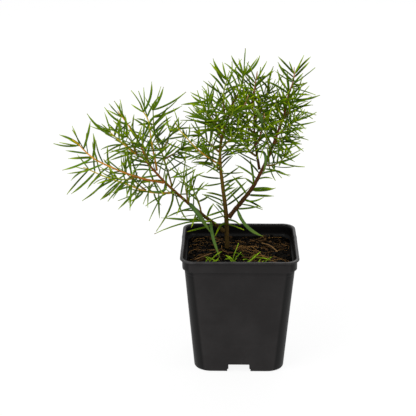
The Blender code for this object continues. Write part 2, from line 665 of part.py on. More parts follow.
def sprout(bm, face, points, along, width, thickness):
    """Extrudes a side of a stem through a curve's points into a flat blade with a pointed end."""
    up = along
    before = face.calc_center_median()
    for i, point in enumerate(points[:-1]):
        heading = (points[i + 1] - before).normalized()
        up = (up - up.dot(heading) * heading).normalized()
        across = up.cross(heading)
        wide = width * (1.0 - LEAF_TAPER * ((i + 1) / len(points)) ** 3)
        half_across, half_up = across * wide / 2, up * thickness / 2
        old = face.calc_center_median()
        face = bmesh.ops.extrude_discrete_faces(bm, faces=[face])["faces"][0]
        corners = [half_across + half_up, half_up - half_across]
        corners += [-corner for corner in corners]
        offsets = [(vertex.co - old).normalized() for vertex in face.verts]

        def match(start):
            turned = corners[start:] + corners[:start]
            return sum(offset.dot(corner.normalized()) for offset, corner in zip(offsets, turned))

        start = max(range(4), key=match)
        for j, vertex in enumerate(face.verts):
            vertex.co = point + corners[(j + start) % 4]
        before = point
    end = bmesh.ops.poke(bm, faces=[face])["verts"][0]
    end.co = points[-1]


def stem_object(grown):
    """The stem's tube, with its leaves and roots drawn out of the tube's sides."""
    stem = grown.stem
    bm = bmesh.new()
    loops = []
    for centre, along, side, radius in grown.rings:
        other = along.cross(side)
        loops.append([
            bm.verts.new(centre + radius * (math.cos(2 * math.pi * k / stem.sides) * side
                                            + math.sin(2 * math.pi * k / stem.sides) * other))
            for k in range(stem.sides)
        ])
    walls = []
    for lower, upper in zip(loops, loops[1:]):
        walls.append([
            bm.faces.new((lower[k], lower[(k + 1) % stem.sides], upper[(k + 1) % stem.sides], upper[k]))
            for k in range(stem.sides)
        ])
    bm.faces.new(reversed(loops[0]))
    bm.faces.new(loops[-1])
    for (index, side), (points, width, thickness) in grown.blades.items():
        along = grown.rings[2 * index + 1][1]
        sprout(bm, walls[2 * index + 1][side], points, along, width, thickness)
    return add_object(stem.name, bm, stem.bark)


def tube(name, points, radii, sides=8):
    """A plain closed tube through points, with a radius at each."""
    bm = bmesh.new()
    loops = []
    side = Vector((1.0, 0.0, 0.0))
    for i, point in enumerate(points):
        along = (points[min(i + 1, len(points) - 1)] - points[max(i - 1, 0)]).normalized()
        side = (side - side.dot(along) * along).normalized()
        other = along.cross(side)
        loops.append([
            bm.verts.new(point + radii[i] * (math.cos(2 * math.pi * k / sides) * side
                                             + math.sin(2 * math.pi * k / sides) * other))
            for k in range(sides)
        ])
    for lower, upper in zip(loops, loops[1:]):
        join_loops(bm, lower, upper)
    bm.faces.new(reversed(loops[0]))
    bm.faces.new(loops[-1])
    return add_object(name, bm)


def grow_roots(grown):
    """Side roots, drawn out of the trunk's foot below the surface of the mix."""
    for root in grown.stem.roots:
        path = smooth_path(root, ROOT_STEP)
        heights = [abs(grown.rings[2 * i + 1][0].z - path[0].z) for i in range(len(grown.bearings))]
        index = heights.index(min(heights))
        facing = (path[-1] - path[0]).normalized()
        side = grown.seat(index, facing)[3]
        grown.blades[(index, side)] = (path, ROOT_WIDTH, ROOT_WIDTH)


def foot_cutters(grown):
    """Cutters for the space that the trunk's foot and its roots take in the potting mix."""
    foot = [point for point in grown.path if point.z < POT_HEIGHT][::6]
    start = foot[0] - (foot[1] - foot[0]).normalized() * GAP
    clear = grown.stem.girth[0] + GAP + 0.15
    cutters = [tube("foot_space", [start, *foot], [clear] * (len(foot) + 1), 12)]
    root_clear = ROOT_WIDTH * math.sqrt(0.5) + 2 * GAP
    for number, root in enumerate(grown.stem.roots):
        path = smooth_path(root, ROOT_STEP)
        middle = Vector((TRUNK_FOOT[0] + 1, TRUNK_FOOT[1], root[0][2]))
        past = path[-1] + (path[-1] - path[-2]).normalized() * 1.5
        points = [middle, *path, past]
        cutters.append(tube(f"root_space_{number + 1}", points, [root_clear] * len(points), 6))
    return [as_cutter(cutter) for cutter in cutters]


# ---------------------------------------------------------------- litter on the potting mix


def lay_on_mix(points, radius):
    """A route given by its plan points, lifted so that it lies just over the mix."""
    return [Vector((x, y, mix_height(x, y) + radius + GAP + lift)) for x, y, lift in points]


def build_litter():
    """Straws that lie on the mix and green needles that stand or have dropped at the front."""
    straws = [
        [(2, -14, 0.4), (12, -17, 1.2), (24, -19, 0.8), (36, -28, 0.4)],
        [(20, 24, 0.5), (27, 12, 2.2), (33, 2, 0.6)],
        [(-38, -20, 0.4), (-30, -12, 1.6), (-24, -8, 0.5)],
    ]
    needles = [
        [(-8, -36, 1.0), (-5, -22, 6.0), (-1, -10, 11.0)],
        [(-2, -36, 0.4), (8, -27, 3.0), (18, -17, 7.0)],
        [(-30, -38, 0.4), (-26, -26, 5.0), (-18, -33, 3.0), (-16, -40, 0.6)],
        [(22, -38, 0.4), (26, -31, 3.0), (36, -32, 1.5)],
    ]
    kinds = [("straw", straws, STRAW_RADIUS, "dry_straw"),
             ("fallen_needle", needles, NEEDLE_RADIUS, "grass_green")]
    for kind, routes, radius, colour in kinds:
        for number, route in enumerate(routes):
            points = smooth_path(lay_on_mix(route, radius), LITTER_STEP)
            radii = [radius] * (len(points) - 1) + [radius * LITTER_POINT]
            litter = tube(f"{kind}_{number + 1}", points, radii, 5)
            litter.data.materials.append(finish(colour))


def build_plant():
    """Grows every stem, then its leaves, and returns the cutters for the mix round the trunk's foot."""
    thicket = Thicket()
    grown = [GrownStem(stem, thicket) for stem in LIMBS + SHOOTS]
    rng = random.Random(7)
    for one in grown:
        grow_roots(one)
        grow_old_leaves(one, thicket, rng)
    for one in grown:
        grow_reaching_leaves(one, thicket, rng)
    for one in grown:
        grow_leaves(one, thicket, rng)
    for one in grown:
        stem_object(one)
    return foot_cutters(grown[0])


def main():
    """Builds the whole object."""
    clear_scene()
    build_pot()
    build_potting_mix(build_plant())
    build_litter()


main()
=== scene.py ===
"""Looks of a potted grevillea: a young needle-leaved shrub in a square black nursery pot.

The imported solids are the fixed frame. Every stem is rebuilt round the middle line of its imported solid,
and every packed leaf along the line of its packed blade. Small leaves round the tips and finer ones in
the crown are added between them. The pot, the potting mix and the litter on it are made again with
their fine surface. Sizes are in millimetres, angles in degrees, and MM turns sizes into metres.
"""

import logging
import math
import random
from dataclasses import dataclass, field
from enum import Enum

import bmesh
import bpy
import numpy as np
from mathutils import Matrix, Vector, noise
from mathutils.bvhtree import BVHTree
from mathutils.kdtree import KDTree


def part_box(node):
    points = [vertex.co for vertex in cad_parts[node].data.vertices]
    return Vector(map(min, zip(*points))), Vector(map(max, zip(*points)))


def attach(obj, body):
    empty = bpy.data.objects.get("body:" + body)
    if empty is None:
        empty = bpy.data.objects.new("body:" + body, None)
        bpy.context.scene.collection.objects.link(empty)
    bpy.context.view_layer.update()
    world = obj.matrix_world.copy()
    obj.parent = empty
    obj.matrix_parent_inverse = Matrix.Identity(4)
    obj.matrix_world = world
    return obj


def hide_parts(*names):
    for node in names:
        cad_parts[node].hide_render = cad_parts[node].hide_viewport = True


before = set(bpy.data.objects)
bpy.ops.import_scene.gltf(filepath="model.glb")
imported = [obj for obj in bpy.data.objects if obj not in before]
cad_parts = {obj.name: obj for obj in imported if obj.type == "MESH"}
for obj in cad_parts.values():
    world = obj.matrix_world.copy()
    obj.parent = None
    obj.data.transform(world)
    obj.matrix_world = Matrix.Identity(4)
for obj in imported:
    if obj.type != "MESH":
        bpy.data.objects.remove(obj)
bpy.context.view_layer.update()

MM = 0.001
BODY = "root"
GOLDEN_TURN = math.radians(137.5)
BROAD_SILVER = 0.9
LOG = logging.getLogger("grevillea")

Colour = tuple[float, float, float]


def tone(red: float, green: float, blue: float) -> Colour:
    """Turns a screen colour, 0 to 255, into the linear light that shaders use.

    Args:
        red: Red on a screen.
        green: Green on a screen.
        blue: Blue on a screen.

    Returns:
        The same colour in linear light, 0 to 1.
    """
    return tuple((value / 255 / 12.92) if value <= 10 else ((value / 255 + 0.055) / 1.055) ** 2.4
                 for value in (red, green, blue))


# ---------------------------------------------------------------- shaders


class Signal:
    """A number that varies over a surface. Sums and products with it add Math nodes."""

    def __init__(self, graph: "Graph", socket: bpy.types.NodeSocket) -> None:
        """Wraps an output socket of a graph."""
        self.graph = graph
        self.socket = socket

    def _math(self, operation: str, first: object, second: object = 0.0) -> "Signal":
        """One Math node on two values."""
        made = self.graph.node("ShaderNodeMath", {"operation": operation}, {0: first, 1: second})
        return Signal(self.graph, made.outputs[0])

    def __add__(self, other: object) -> "Signal":
        """Sum."""
        return self._math("ADD", self, other)

    def __radd__(self, other: object) -> "Signal":
        """Sum, the other way round."""
        return self._math("ADD", other, self)

    def __sub__(self, other: object) -> "Signal":
        """Difference."""
        return self._math("SUBTRACT", self, other)

    def __rsub__(self, other: object) -> "Signal":
        """Difference, the other way round."""
        return self._math("SUBTRACT", other, self)

    def __mul__(self, other: object) -> "Signal":
        """Product."""
        return self._math("MULTIPLY", self, other)

    def __rmul__(self, other: object) -> "Signal":
        """Product, the other way round."""
        return self._math("MULTIPLY", other, self)

    def ramp(self, low: float, high: float) -> "Signal":
        """A soft step from 0 at low to 1 at high, which may lie below low."""
        return self.graph.soft_step(self, low, high)


class Graph:
    """The node tree of one material, with its Principled shader."""

    def __init__(self, name: str) -> None:
        """Starts a material.

        Args:
            name: The material's name.
        """
        self.material = bpy.data.materials.new(name)
        self.material.use_nodes = True
        self.tree = self.material.node_tree
        self.shader = self.tree.nodes["Principled BSDF"]

    def node(self, kind: str, settings: dict | None = None, sockets: dict | None = None) -> bpy.types.Node:
        """Adds a node.

        Args:
            kind: The node's type.
            settings: Its own properties, set first.
            sockets: Values or links of its inputs, by name or number.

        Returns:
            The node.
        """
        made = self.tree.nodes.new(kind)
        for key, value in (settings or {}).items():
            setattr(made, key, value)
        for key, value in (sockets or {}).items():
            self.feed(made.inputs[key], value)
        return made

    def feed(self, socket: bpy.types.NodeSocket, value: object) -> None:
        """Links a signal or socket to an input, or sets the input's own value."""
        if isinstance(value, Signal):
            value = value.socket
        if isinstance(value, bpy.types.NodeSocket):
            self.tree.links.new(value, socket)
        elif isinstance(value, tuple) and socket.type == "RGBA":
            socket.default_value = (*value[:3], 1.0)
        else:
            socket.default_value = value

    def soft_step(self, value: object, low: float, high: float) -> Signal:
        """A smooth step between two limits.

        Args:
            value: What is compared with the limits.
            low: Where the step starts, at 0.
            high: Where it ends, at 1.

        Returns:
            The step.
        """
        settings = {"interpolation_type": "SMOOTHSTEP"}
        if high < low:
            made = self.node("ShaderNodeMapRange", settings, {0: value, 1: high, 2: low, 3: 1.0, 4: 0.0})
        else:
            made = self.node("ShaderNodeMapRange", settings, {0: value, 1: low, 2: high})
        return Signal(self, made.outputs[0])

    def place(self, stretch: tuple[float, float, float] = (1.0, 1.0, 1.0)) -> bpy.types.NodeSocket:
        """The point on the piece, with each axis stretched.

        Args:
            stretch: Factor on each axis.

        Returns:
            The vector socket.
        """
        point = self.node("ShaderNodeTexCoord").outputs["Object"]
        if stretch == (1.0, 1.0, 1.0):
            return point
        return self.node("ShaderNodeMapping", None, {"Vector": point, "Scale": stretch}).outputs[0]

    def heights(self) -> Signal:
        """Height of the point over the floor, in metres."""
        return Signal(self, self.node("ShaderNodeSeparateXYZ", None, {0: self.place()}).outputs["Z"])

    def grain(self, grains_per_metre: float, detail: float = 3.0, rough: float = 0.55,
              stretch: tuple[float, float, float] = (1.0, 1.0, 1.0)) -> Signal:
        """Cloudy noise.

        Args:
            grains_per_metre: How fine it is.
            detail: Octaves.
            rough: Share that each finer octave keeps.
            stretch: Factor on each axis, for streaks.

        Returns:
            The noise, 0 to 1.
        """
        made = self.node("ShaderNodeTexNoise", {"noise_dimensions": "3D"}, {
            "Vector": self.place(stretch), "Scale": grains_per_metre, "Detail": detail, "Roughness": rough})
        return Signal(self, made.outputs[0])

    def cells(self, cells_per_metre: float) -> Signal:
        """Distance to the nearest cell's middle, for crumbs and pits."""
        made = self.node("ShaderNodeTexVoronoi", None, {"Vector": self.place(), "Scale": cells_per_metre})
        return Signal(self, made.outputs["Distance"])

    def paint(self, attribute: str) -> tuple[Signal, Signal, Signal]:
        """The three channels of a colour attribute.

        Args:
            attribute: The attribute's name.

        Returns:
            Its red, green and blue.
        """
        colour = self.node("ShaderNodeAttribute", {"attribute_name": attribute}).outputs["Color"]
        parts = self.node("ShaderNodeSeparateColor", None, {0: colour})
        return tuple(Signal(self, parts.outputs[i]) for i in range(3))

    def blend(self, first: object, second: object, share: object) -> bpy.types.NodeSocket:
        """Mixes two colours.

        Args:
            first: Colour or socket at share 0.
            second: Colour or socket at share 1.
            share: A number or signal.

        Returns:
            The mixed colour.
        """
        made = self.node("ShaderNodeMix", {"data_type": "RGBA"}, {0: share, 6: first, 7: second})
        return made.outputs[2]

    def dress(self, colour: object, roughness: object, height: Signal | None = None, depth: float = 0.1,
              specular: float = 0.5) -> bpy.types.Material:
        """Feeds the shader and returns the finished material.

        Args:
            colour: Base colour.
            roughness: Roughness.
            height: Relief for the Bump node, 0 to 1.
            depth: What one unit of relief is, in millimetres.
            specular: The shader's specular level.

        Returns:
            The material.
        """
        self.feed(self.shader.inputs["Base Color"], colour)
        self.feed(self.shader.inputs["Roughness"], roughness)
        self.shader.inputs["Specular IOR Level"].default_value = specular
        if height is not None:
            bump = self.node("ShaderNodeBump", None, {"Strength": 1.0, "Distance": depth * MM, "Height": height})
            self.feed(self.shader.inputs["Normal"], bump.outputs[0])
        return self.material


@dataclass(frozen=True)
class LeafFinish:
    """A needle leaf: dark at the foot, lime towards the tip, pale underneath, with a paler midrib."""

    name: str = "needle_leaf"
    dark: Colour = tone(22, 40, 2)
    mid: Colour = tone(74, 106, 3)
    lime: Colour = tone(152, 176, 8)
    silver: Colour = tone(66, 90, 50)
    under: Colour = tone(92, 116, 22)
    rib: Colour = tone(104, 132, 16)
    dry: Colour = tone(116, 92, 34)
    pink: Colour = tone(176, 112, 96)
    gold: Colour = tone(214, 156, 20)

    def material(self) -> bpy.types.Material:
        """Builds the material from the blade and growth attributes of the leaves."""
        graph = Graph(self.name)
        along, across, under = graph.paint("blade")
        tint, youth, silver = graph.paint("growth")
        pink, gold, _ = graph.paint("flush")
        speckle = graph.grain(900.0, 3.0)
        patch = graph.grain(70.0, 2.0)
        colour = graph.blend(self.dark, self.mid, (tint * 0.8 + patch * 0.5 - 0.1).ramp(0.0, 1.0))
        colour = graph.blend(colour, self.lime, (along.ramp(0.45, 1.05) * 0.6 + youth * 0.75).ramp(0.0, 1.0))
        colour = graph.blend(colour, self.silver, silver * 0.75)
        colour = graph.blend(colour, self.under, under * 0.42)
        colour = graph.blend(colour, self.rib, across.ramp(0.35, 0.0) * 0.35)
        colour = graph.blend(colour, self.dry, along.ramp(0.94, 1.0) * tint.ramp(0.6, 0.9))
        colour = graph.blend(graph.blend(colour, self.pink, pink), self.gold, gold)
        relief = speckle * 0.5 + across.ramp(0.3, 0.0)
        return graph.dress(colour, speckle * 0.2 + silver * 0.15 + 0.38, relief, 0.04, 0.03)


@dataclass(frozen=True)
class BarkFinish:
    """Bark, from the foot of a stem to its green or coloured tip."""

    name: str
    foot: Colour
    tip: Colour
    fissure: Colour
    relief: float = 0.12

    def material(self) -> bpy.types.Material:
        """Builds the material from the growth attribute of the stems."""
        graph = Graph(self.name)
        along, tint, _ = graph.paint("growth")
        streaks = graph.grain(900.0, 4.0, 0.6, (1.0, 1.0, 0.22))
        flecks = graph.grain(2600.0, 2.0)
        colour = graph.blend(self.foot, self.tip, (along + (graph.grain(120.0) - 0.5) * 0.5).ramp(0.15, 0.9))
        colour = graph.blend(colour, self.fissure, streaks.ramp(0.52, 0.68) * 0.75)
        colour = graph.blend(colour, self.tip, flecks.ramp(0.62, 0.74) * 0.4 * tint)
        return graph.dress(colour, 0.62 + streaks * 0.3, streaks + flecks * 0.4, self.relief, 0.05)


@dataclass(frozen=True)
class PlasticFinish:
    """Thin black polythene of a nursery pot: satin, a little cloudy, paler where scuffed, with a painted highlight
    along the rim and painted shade inside.
    """

    name: str = "pot_polythene"
    body: Colour = tone(26, 24, 24)
    cloud: Colour = tone(36, 34, 34)
    # Pale grey of the real scuffs, and of the painted highlight along the rim.
    pale_wear_and_highlight: Colour = tone(70, 69, 70)
    # Near-black painted shade for the inside of the pot.
    shade: Colour = tone(5, 4, 4)
    rim_height: float = 104.2
    foot_height: float = 3.0

    def material(self) -> bpy.types.Material:
        """Builds the material on object coordinates."""
        graph = Graph(self.name)
        clouds = graph.grain(38.0, 4.0, 0.6)
        lines = graph.grain(60.0, 3.0, 0.6, (0.35, 0.35, 16.0))
        grit = graph.grain(2400.0, 2.0)
        height = graph.heights()
        # The top of the rim carries the painted highlight along the lip, and is also a little smoother.
        rim = height.ramp((self.rim_height - 0.7) * MM, self.rim_height * MM)
        foot = height.ramp(self.foot_height * MM, 0.0)
        scuffs = graph.grain(420.0, 5.0, 0.7, (1.0, 1.0, 0.35)).ramp(0.6, 0.78)
        colour = graph.blend(self.body, self.cloud, clouds.ramp(0.35, 0.75) * 0.8 + lines.ramp(0.55, 0.8) * 0.25)
        inside, _, _ = graph.paint("inside")
        # Paler where scuffed, most near the foot (real wear), and a painted highlight along the rim, patchy with
        # the clouds.
        wear_and_rim_highlight = rim * clouds.ramp(0.3, 0.7) * 0.45 + scuffs * (foot * 0.6 + 0.08)
        colour = graph.blend(colour, self.pale_wear_and_highlight, wear_and_rim_highlight)
        # Painted shade: the inside of the pot, marked by the inside attribute, goes near black.
        colour = graph.blend(colour, self.shade, inside)
        rough = 0.4 + clouds * 0.14 + scuffs * 0.12 - rim * 0.08
        return graph.dress(colour, rough, lines * 0.8 + grit * 0.15 + clouds * 0.4, 0.06, 0.15)


@dataclass(frozen=True)
class MixFinish:
    """Damp potting mix of peat and composted bark."""

    name: str = "damp_mix"
    peat: Colour = tone(3, 2, 1)
    crumb: Colour = tone(24, 16, 8)
    sand: Colour = tone(84, 64, 36)

    def material(self) -> bpy.types.Material:
        """Builds the material on object coordinates."""
        graph = Graph(self.name)
        crumbs = graph.cells(520.0)
        clods = graph.grain(240.0, 5.0, 0.65)
        grit = graph.grain(1900.0, 2.0)
        colour = graph.blend(self.peat, self.crumb, clods.ramp(0.5, 0.75))
        colour = graph.blend(colour, self.sand, grit.ramp(0.7, 0.76) * 0.5)
        return graph.dress(colour, 0.75 + clods * 0.2, 1 - crumbs + clods * 1.5, 0.5, 0.02)


@dataclass(frozen=True)
class LitterFinish:
    """Dry or fresh plant litter, each piece between two colours by its own tint."""

    name: str
    dark: Colour
    pale: Colour
    roughness: float = 0.75
    relief: float = 0.05
    least: float = 0.05

    def material(self) -> bpy.types.Material:
        """Builds the material from the growth attribute of the pieces."""
        graph = Graph(self.name)
        along, tint, _ = graph.paint("growth")
        fibre = graph.grain(1500.0, 3.0, 0.6, (1.0, 1.0, 2.5))
        share = (tint + (fibre - 0.5) * 0.6 + along * 0.1).ramp(self.least, 1.0)
        colour = graph.blend(self.dark, self.pale, share)
        return graph.dress(colour, self.roughness + fibre * 0.15, fibre, self.relief, 0.03)


class Bark(Enum):
    """The barks of the plant's stems."""

    OLD = BarkFinish("old_bark", tone(46, 35, 16), tone(108, 84, 28), tone(24, 15, 6), 0.2)
    RUST = BarkFinish("rust_bark", tone(62, 48, 20), tone(122, 74, 26), tone(36, 22, 8), 0.2)
    RED = BarkFinish("red_bark", tone(58, 38, 18), tone(104, 60, 28), tone(28, 14, 6), 0.2)
    YOUNG = BarkFinish("young_bark", tone(104, 86, 28), tone(128, 144, 40), tone(70, 50, 20))
    YELLOW = BarkFinish("yellow_bark", tone(158, 116, 34), tone(186, 168, 58), tone(110, 70, 24))
    ORANGE = BarkFinish("orange_bark", tone(150, 92, 36), tone(204, 148, 62), tone(112, 60, 26))
    PINK = BarkFinish("pink_bark", tone(112, 70, 40), tone(172, 120, 96), tone(84, 44, 30))


BARK_OF_STEM = {
    "trunk_and_leader": Bark.OLD,
    "left_limb": Bark.RUST,
    "right_limb": Bark.RED,
    "middle_branch": Bark.RED,
    "leader_twig": Bark.YELLOW,
    "left_tip_twig": Bark.YELLOW,
    "left_upper_twig": Bark.YELLOW,
    "left_hanging_twig": Bark.YELLOW,
    "left_lower_twig": Bark.ORANGE,
    "left_shoot_1": Bark.ORANGE,
    "crown_shoot_7": Bark.PINK,
    "middle_shoot_1": Bark.PINK,
    "middle_shoot_4": Bark.PINK,
    "right_shoot_1": Bark.PINK,
}


# ---------------------------------------------------------------- modelling by hand


class Bench:
    """The few moves that every piece is modelled with."""

    @staticmethod
    def clear() -> None:
        """Leaves nothing selected."""
        for thing in bpy.context.selected_objects:
            thing.select_set(False)

    @staticmethod
    def take(things: list[bpy.types.Object]) -> None:
        """Selects only these objects, the first of them active."""
        Bench.clear()
        for thing in things:
            thing.select_set(True)
        bpy.context.view_layer.objects.active = things[0]

    @staticmethod
    def apply(thing: bpy.types.Object, kind: str, **settings: object) -> None:
        """Adds a modifier and applies it.

        Args:
            thing: The object.
            kind: The modifier's type.
            **settings: Its properties.
        """
        modifier = thing.modifiers.new(kind.lower(), kind)
        for key, value in settings.items():
            setattr(modifier, key, value)
        Bench.take([thing])
        bpy.ops.object.modifier_apply(modifier=modifier.name)

    @staticmethod
    def cut(thing: bpy.types.Object, cutter: bpy.types.Object) -> None:
        """Takes a cutter's shape out of a piece and throws the cutter away."""
        Bench.apply(thing, "BOOLEAN", operation="DIFFERENCE", solver="EXACT", object=cutter)
        bpy.data.objects.remove(cutter, do_unlink=True)

    @staticmethod
    def join(things: list[bpy.types.Object], name: str) -> bpy.types.Object:
        """Joins objects into one and names it."""
        Bench.take(things)
        if len(things) > 1:
            bpy.ops.object.join()
        joined = bpy.context.view_layer.objects.active
        joined.name = name
        joined.data.name = name
        return joined

    @staticmethod
    def smooth(thing: bpy.types.Object, degrees: float) -> None:
        """Shades smooth, with edges sharper than an angle kept sharp."""
        Bench.take([thing])
        bpy.ops.object.shade_smooth_by_angle(angle=math.radians(degrees))

    @staticmethod
    def wear(thing: bpy.types.Object, material: bpy.types.Material) -> None:
        """Gives a piece one material."""
        thing.data.materials.clear()
        thing.data.materials.append(material)

    @staticmethod
    def paint(thing: bpy.types.Object, name: str, values: np.ndarray) -> None:
        """Writes a colour attribute, one row of three numbers a vertex, or one row for all."""
        attribute = thing.data.color_attributes.get(name)
        if attribute is None:
            attribute = thing.data.color_attributes.new(name, "FLOAT_COLOR", "POINT")
        rows = np.ones((len(thing.data.vertices), 4), np.float32)
        rows[:, :3] = values
        attribute.data.foreach_set("color", rows.ravel())

    @staticmethod
    def corners(thing: bpy.types.Object) -> np.ndarray:
        """The vertices of a mesh as rows of x, y and z."""
        rows = np.empty(len(thing.data.vertices) * 3, np.float32)
        thing.data.vertices.foreach_get("co", rows)
        return rows.reshape(-1, 3)

    @staticmethod
    def move_corners(thing: bpy.types.Object, rows: np.ndarray) -> None:
        """Puts the vertices of a mesh at new places."""
        thing.data.vertices.foreach_set("co", np.ascontiguousarray(rows, np.float32).ravel())
        thing.data.update()

    @staticmethod
    def settle(thing: bpy.types.Object, slot: str, *nodes: str) -> None:
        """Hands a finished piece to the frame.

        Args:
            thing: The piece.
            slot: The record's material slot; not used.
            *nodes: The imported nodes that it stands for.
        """
        if nodes:
            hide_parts(*nodes)
        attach(thing, BODY)
        LOG.info("%s: %d faces", thing.name, len(thing.data.polygons))


def tubes(name: str, paths: list[list[Vector]], radii: list[list[float]], roundness: int) -> bpy.types.Object:
    """Bevelled curves through lists of points, turned into one mesh.

    Args:
        name: The piece's name.
        paths: Points of each tube's middle line.
        radii: The tube's radius at each of its points.
        roundness: Bevel resolution, 0 for four sides and 2 for eight.

    Returns:
        The mesh, painted with each tube's share along it and its own tint.
    """
    line = bpy.data.curves.new(name, "CURVE")
    line.dimensions = "3D"
    line.bevel_depth = 1.0
    line.bevel_resolution = roundness
    line.use_fill_caps = True
    for path, sizes in zip(paths, radii):
        spline = line.splines.new("POLY")
        spline.points.add(len(path) - 1)
        for point, place, size in zip(spline.points, path, sizes):
            point.co = (*place, 1.0)
            point.radius = size
    thing = bpy.data.objects.new(name, line)
    bpy.context.scene.collection.objects.link(thing)
    Bench.take([thing])
    bpy.ops.object.convert(target="MESH")
    thing = bpy.context.view_layer.objects.active
    near = KDTree(sum(len(path) for path in paths))
    facts = []
    chance = random.Random(len(paths))
    for path in paths:
        tint = chance.random()
        for i, place in enumerate(path):
            near.insert(place, len(facts))
            facts.append((i / (len(path) - 1), tint, 0.0))
    near.balance()
    Bench.paint(thing, "growth", np.array([facts[near.find(v.co)[1]] for v in thing.data.vertices]))
    return thing


def through(knots: list[Vector], step: float) -> list[Vector]:
    """Points a step apart on the smooth curve through knots.

    Args:
        knots: The points that the curve passes.
        step: Distance between the curve's points, in metres.

    Returns:
        The curve's points.
    """
    ends = [2 * knots[0] - knots[1], *knots, 2 * knots[-1] - knots[-2]]
    path = []
    for a, b, c, d in zip(ends, ends[1:], ends[2:], ends[3:]):
        count = max(1, round((c - b).length / step))
        for i in range(count):
            t = i / count
            path.append(0.5 * (2 * b + (c - a) * t + (2 * a - 5 * b + 4 * c - d) * t**2
                               + (3 * b - a - 3 * c + d) * t**3))
    path.append(knots[-1])
    return path


def arc(foot: object, bend: object, end: object, count: int) -> np.ndarray:
    """Points on the curve from a foot to an end that bends towards a third point.

    Args:
        foot: Where the curve starts.
        bend: The point that it bends towards.
        end: Where it ends.
        count: How many points.

    Returns:
        One row a point.
    """
    share = np.linspace(0, 1, count)[:, None]
    line = (1 - share) ** 2 * np.array(foot) + 2 * share * (1 - share) * np.array(bend)
    return line + share**2 * np.array(end)


# ---------------------------------------------------------------- pot and potting mix


@dataclass
class SquareTub:
    """Solids drawn as a stack of level squares with round corners."""

    corner_steps: int = 10
    side_steps: int = 13

    def outline(self, width: float, corner: float) -> list[tuple[float, float]]:
        """The points of one square, in order of their bearing.

        Args:
            width: Width over the flats.
            corner: Radius of the corners.

        Returns:
            The points, in millimetres.
        """
        inner = width / 2 - corner
        points = []
        for quarter in range(4):
            middle = math.radians(45 + 90 * quarter)
            cx = math.copysign(inner, math.cos(middle))
            cy = math.copysign(inner, math.sin(middle))
            for step in range(self.corner_steps + 1):
                angle = math.radians(90 * quarter + 90 * step / self.corner_steps)
                points.append((cx + corner * math.cos(angle), cy + corner * math.sin(angle)))
            ax, ay = points[-1]
            turn = math.radians(90 * (quarter + 1))
            for step in range(1, self.side_steps):
                run = 2 * inner * step / self.side_steps
                points.append((ax - run * math.sin(turn), ay + run * math.cos(turn)))
        return sorted(points, key=lambda point: math.atan2(point[1], point[0]))

    def draw(self, name: str, levels: list[tuple[float, float, float]]) -> bpy.types.Object:
        """Extrudes a face through levels.

        Args:
            name: The solid's name.
            levels: Width, corner radius and height of each level, from the foot up.

        Returns:
            The closed solid.
        """
        count = len(self.outline(100.0, 10.0))
        Bench.clear()
        bpy.ops.mesh.primitive_circle_add(vertices=count, radius=0.01, fill_type="NGON")
        thing = bpy.context.view_layer.objects.active
        thing.name = name
        bpy.ops.object.mode_set(mode="EDIT")
        self.place_selected(thing, levels[0])
        for level in levels[1:]:
            bpy.ops.mesh.extrude_region_move()
            self.place_selected(thing, level)
        bpy.ops.mesh.select_all(action="SELECT")
        bpy.ops.mesh.normals_make_consistent(inside=False)
        bpy.ops.object.mode_set(mode="OBJECT")
        return thing

    def place_selected(self, thing: bpy.types.Object, level: tuple[float, float, float]) -> None:
        """Puts the selected loop of vertices on one level's outline."""
        mesh = bmesh.from_edit_mesh(thing.data)
        chosen = [vertex for vertex in mesh.verts if vertex.select]
        chosen.sort(key=lambda vertex: math.atan2(vertex.co.y, vertex.co.x))
        width, corner, z = level
        for vertex, (x, y) in zip(chosen, self.outline(width, corner)):
            vertex.co = Vector((x, y, z)) * MM
        bmesh.update_edit_mesh(thing.data)


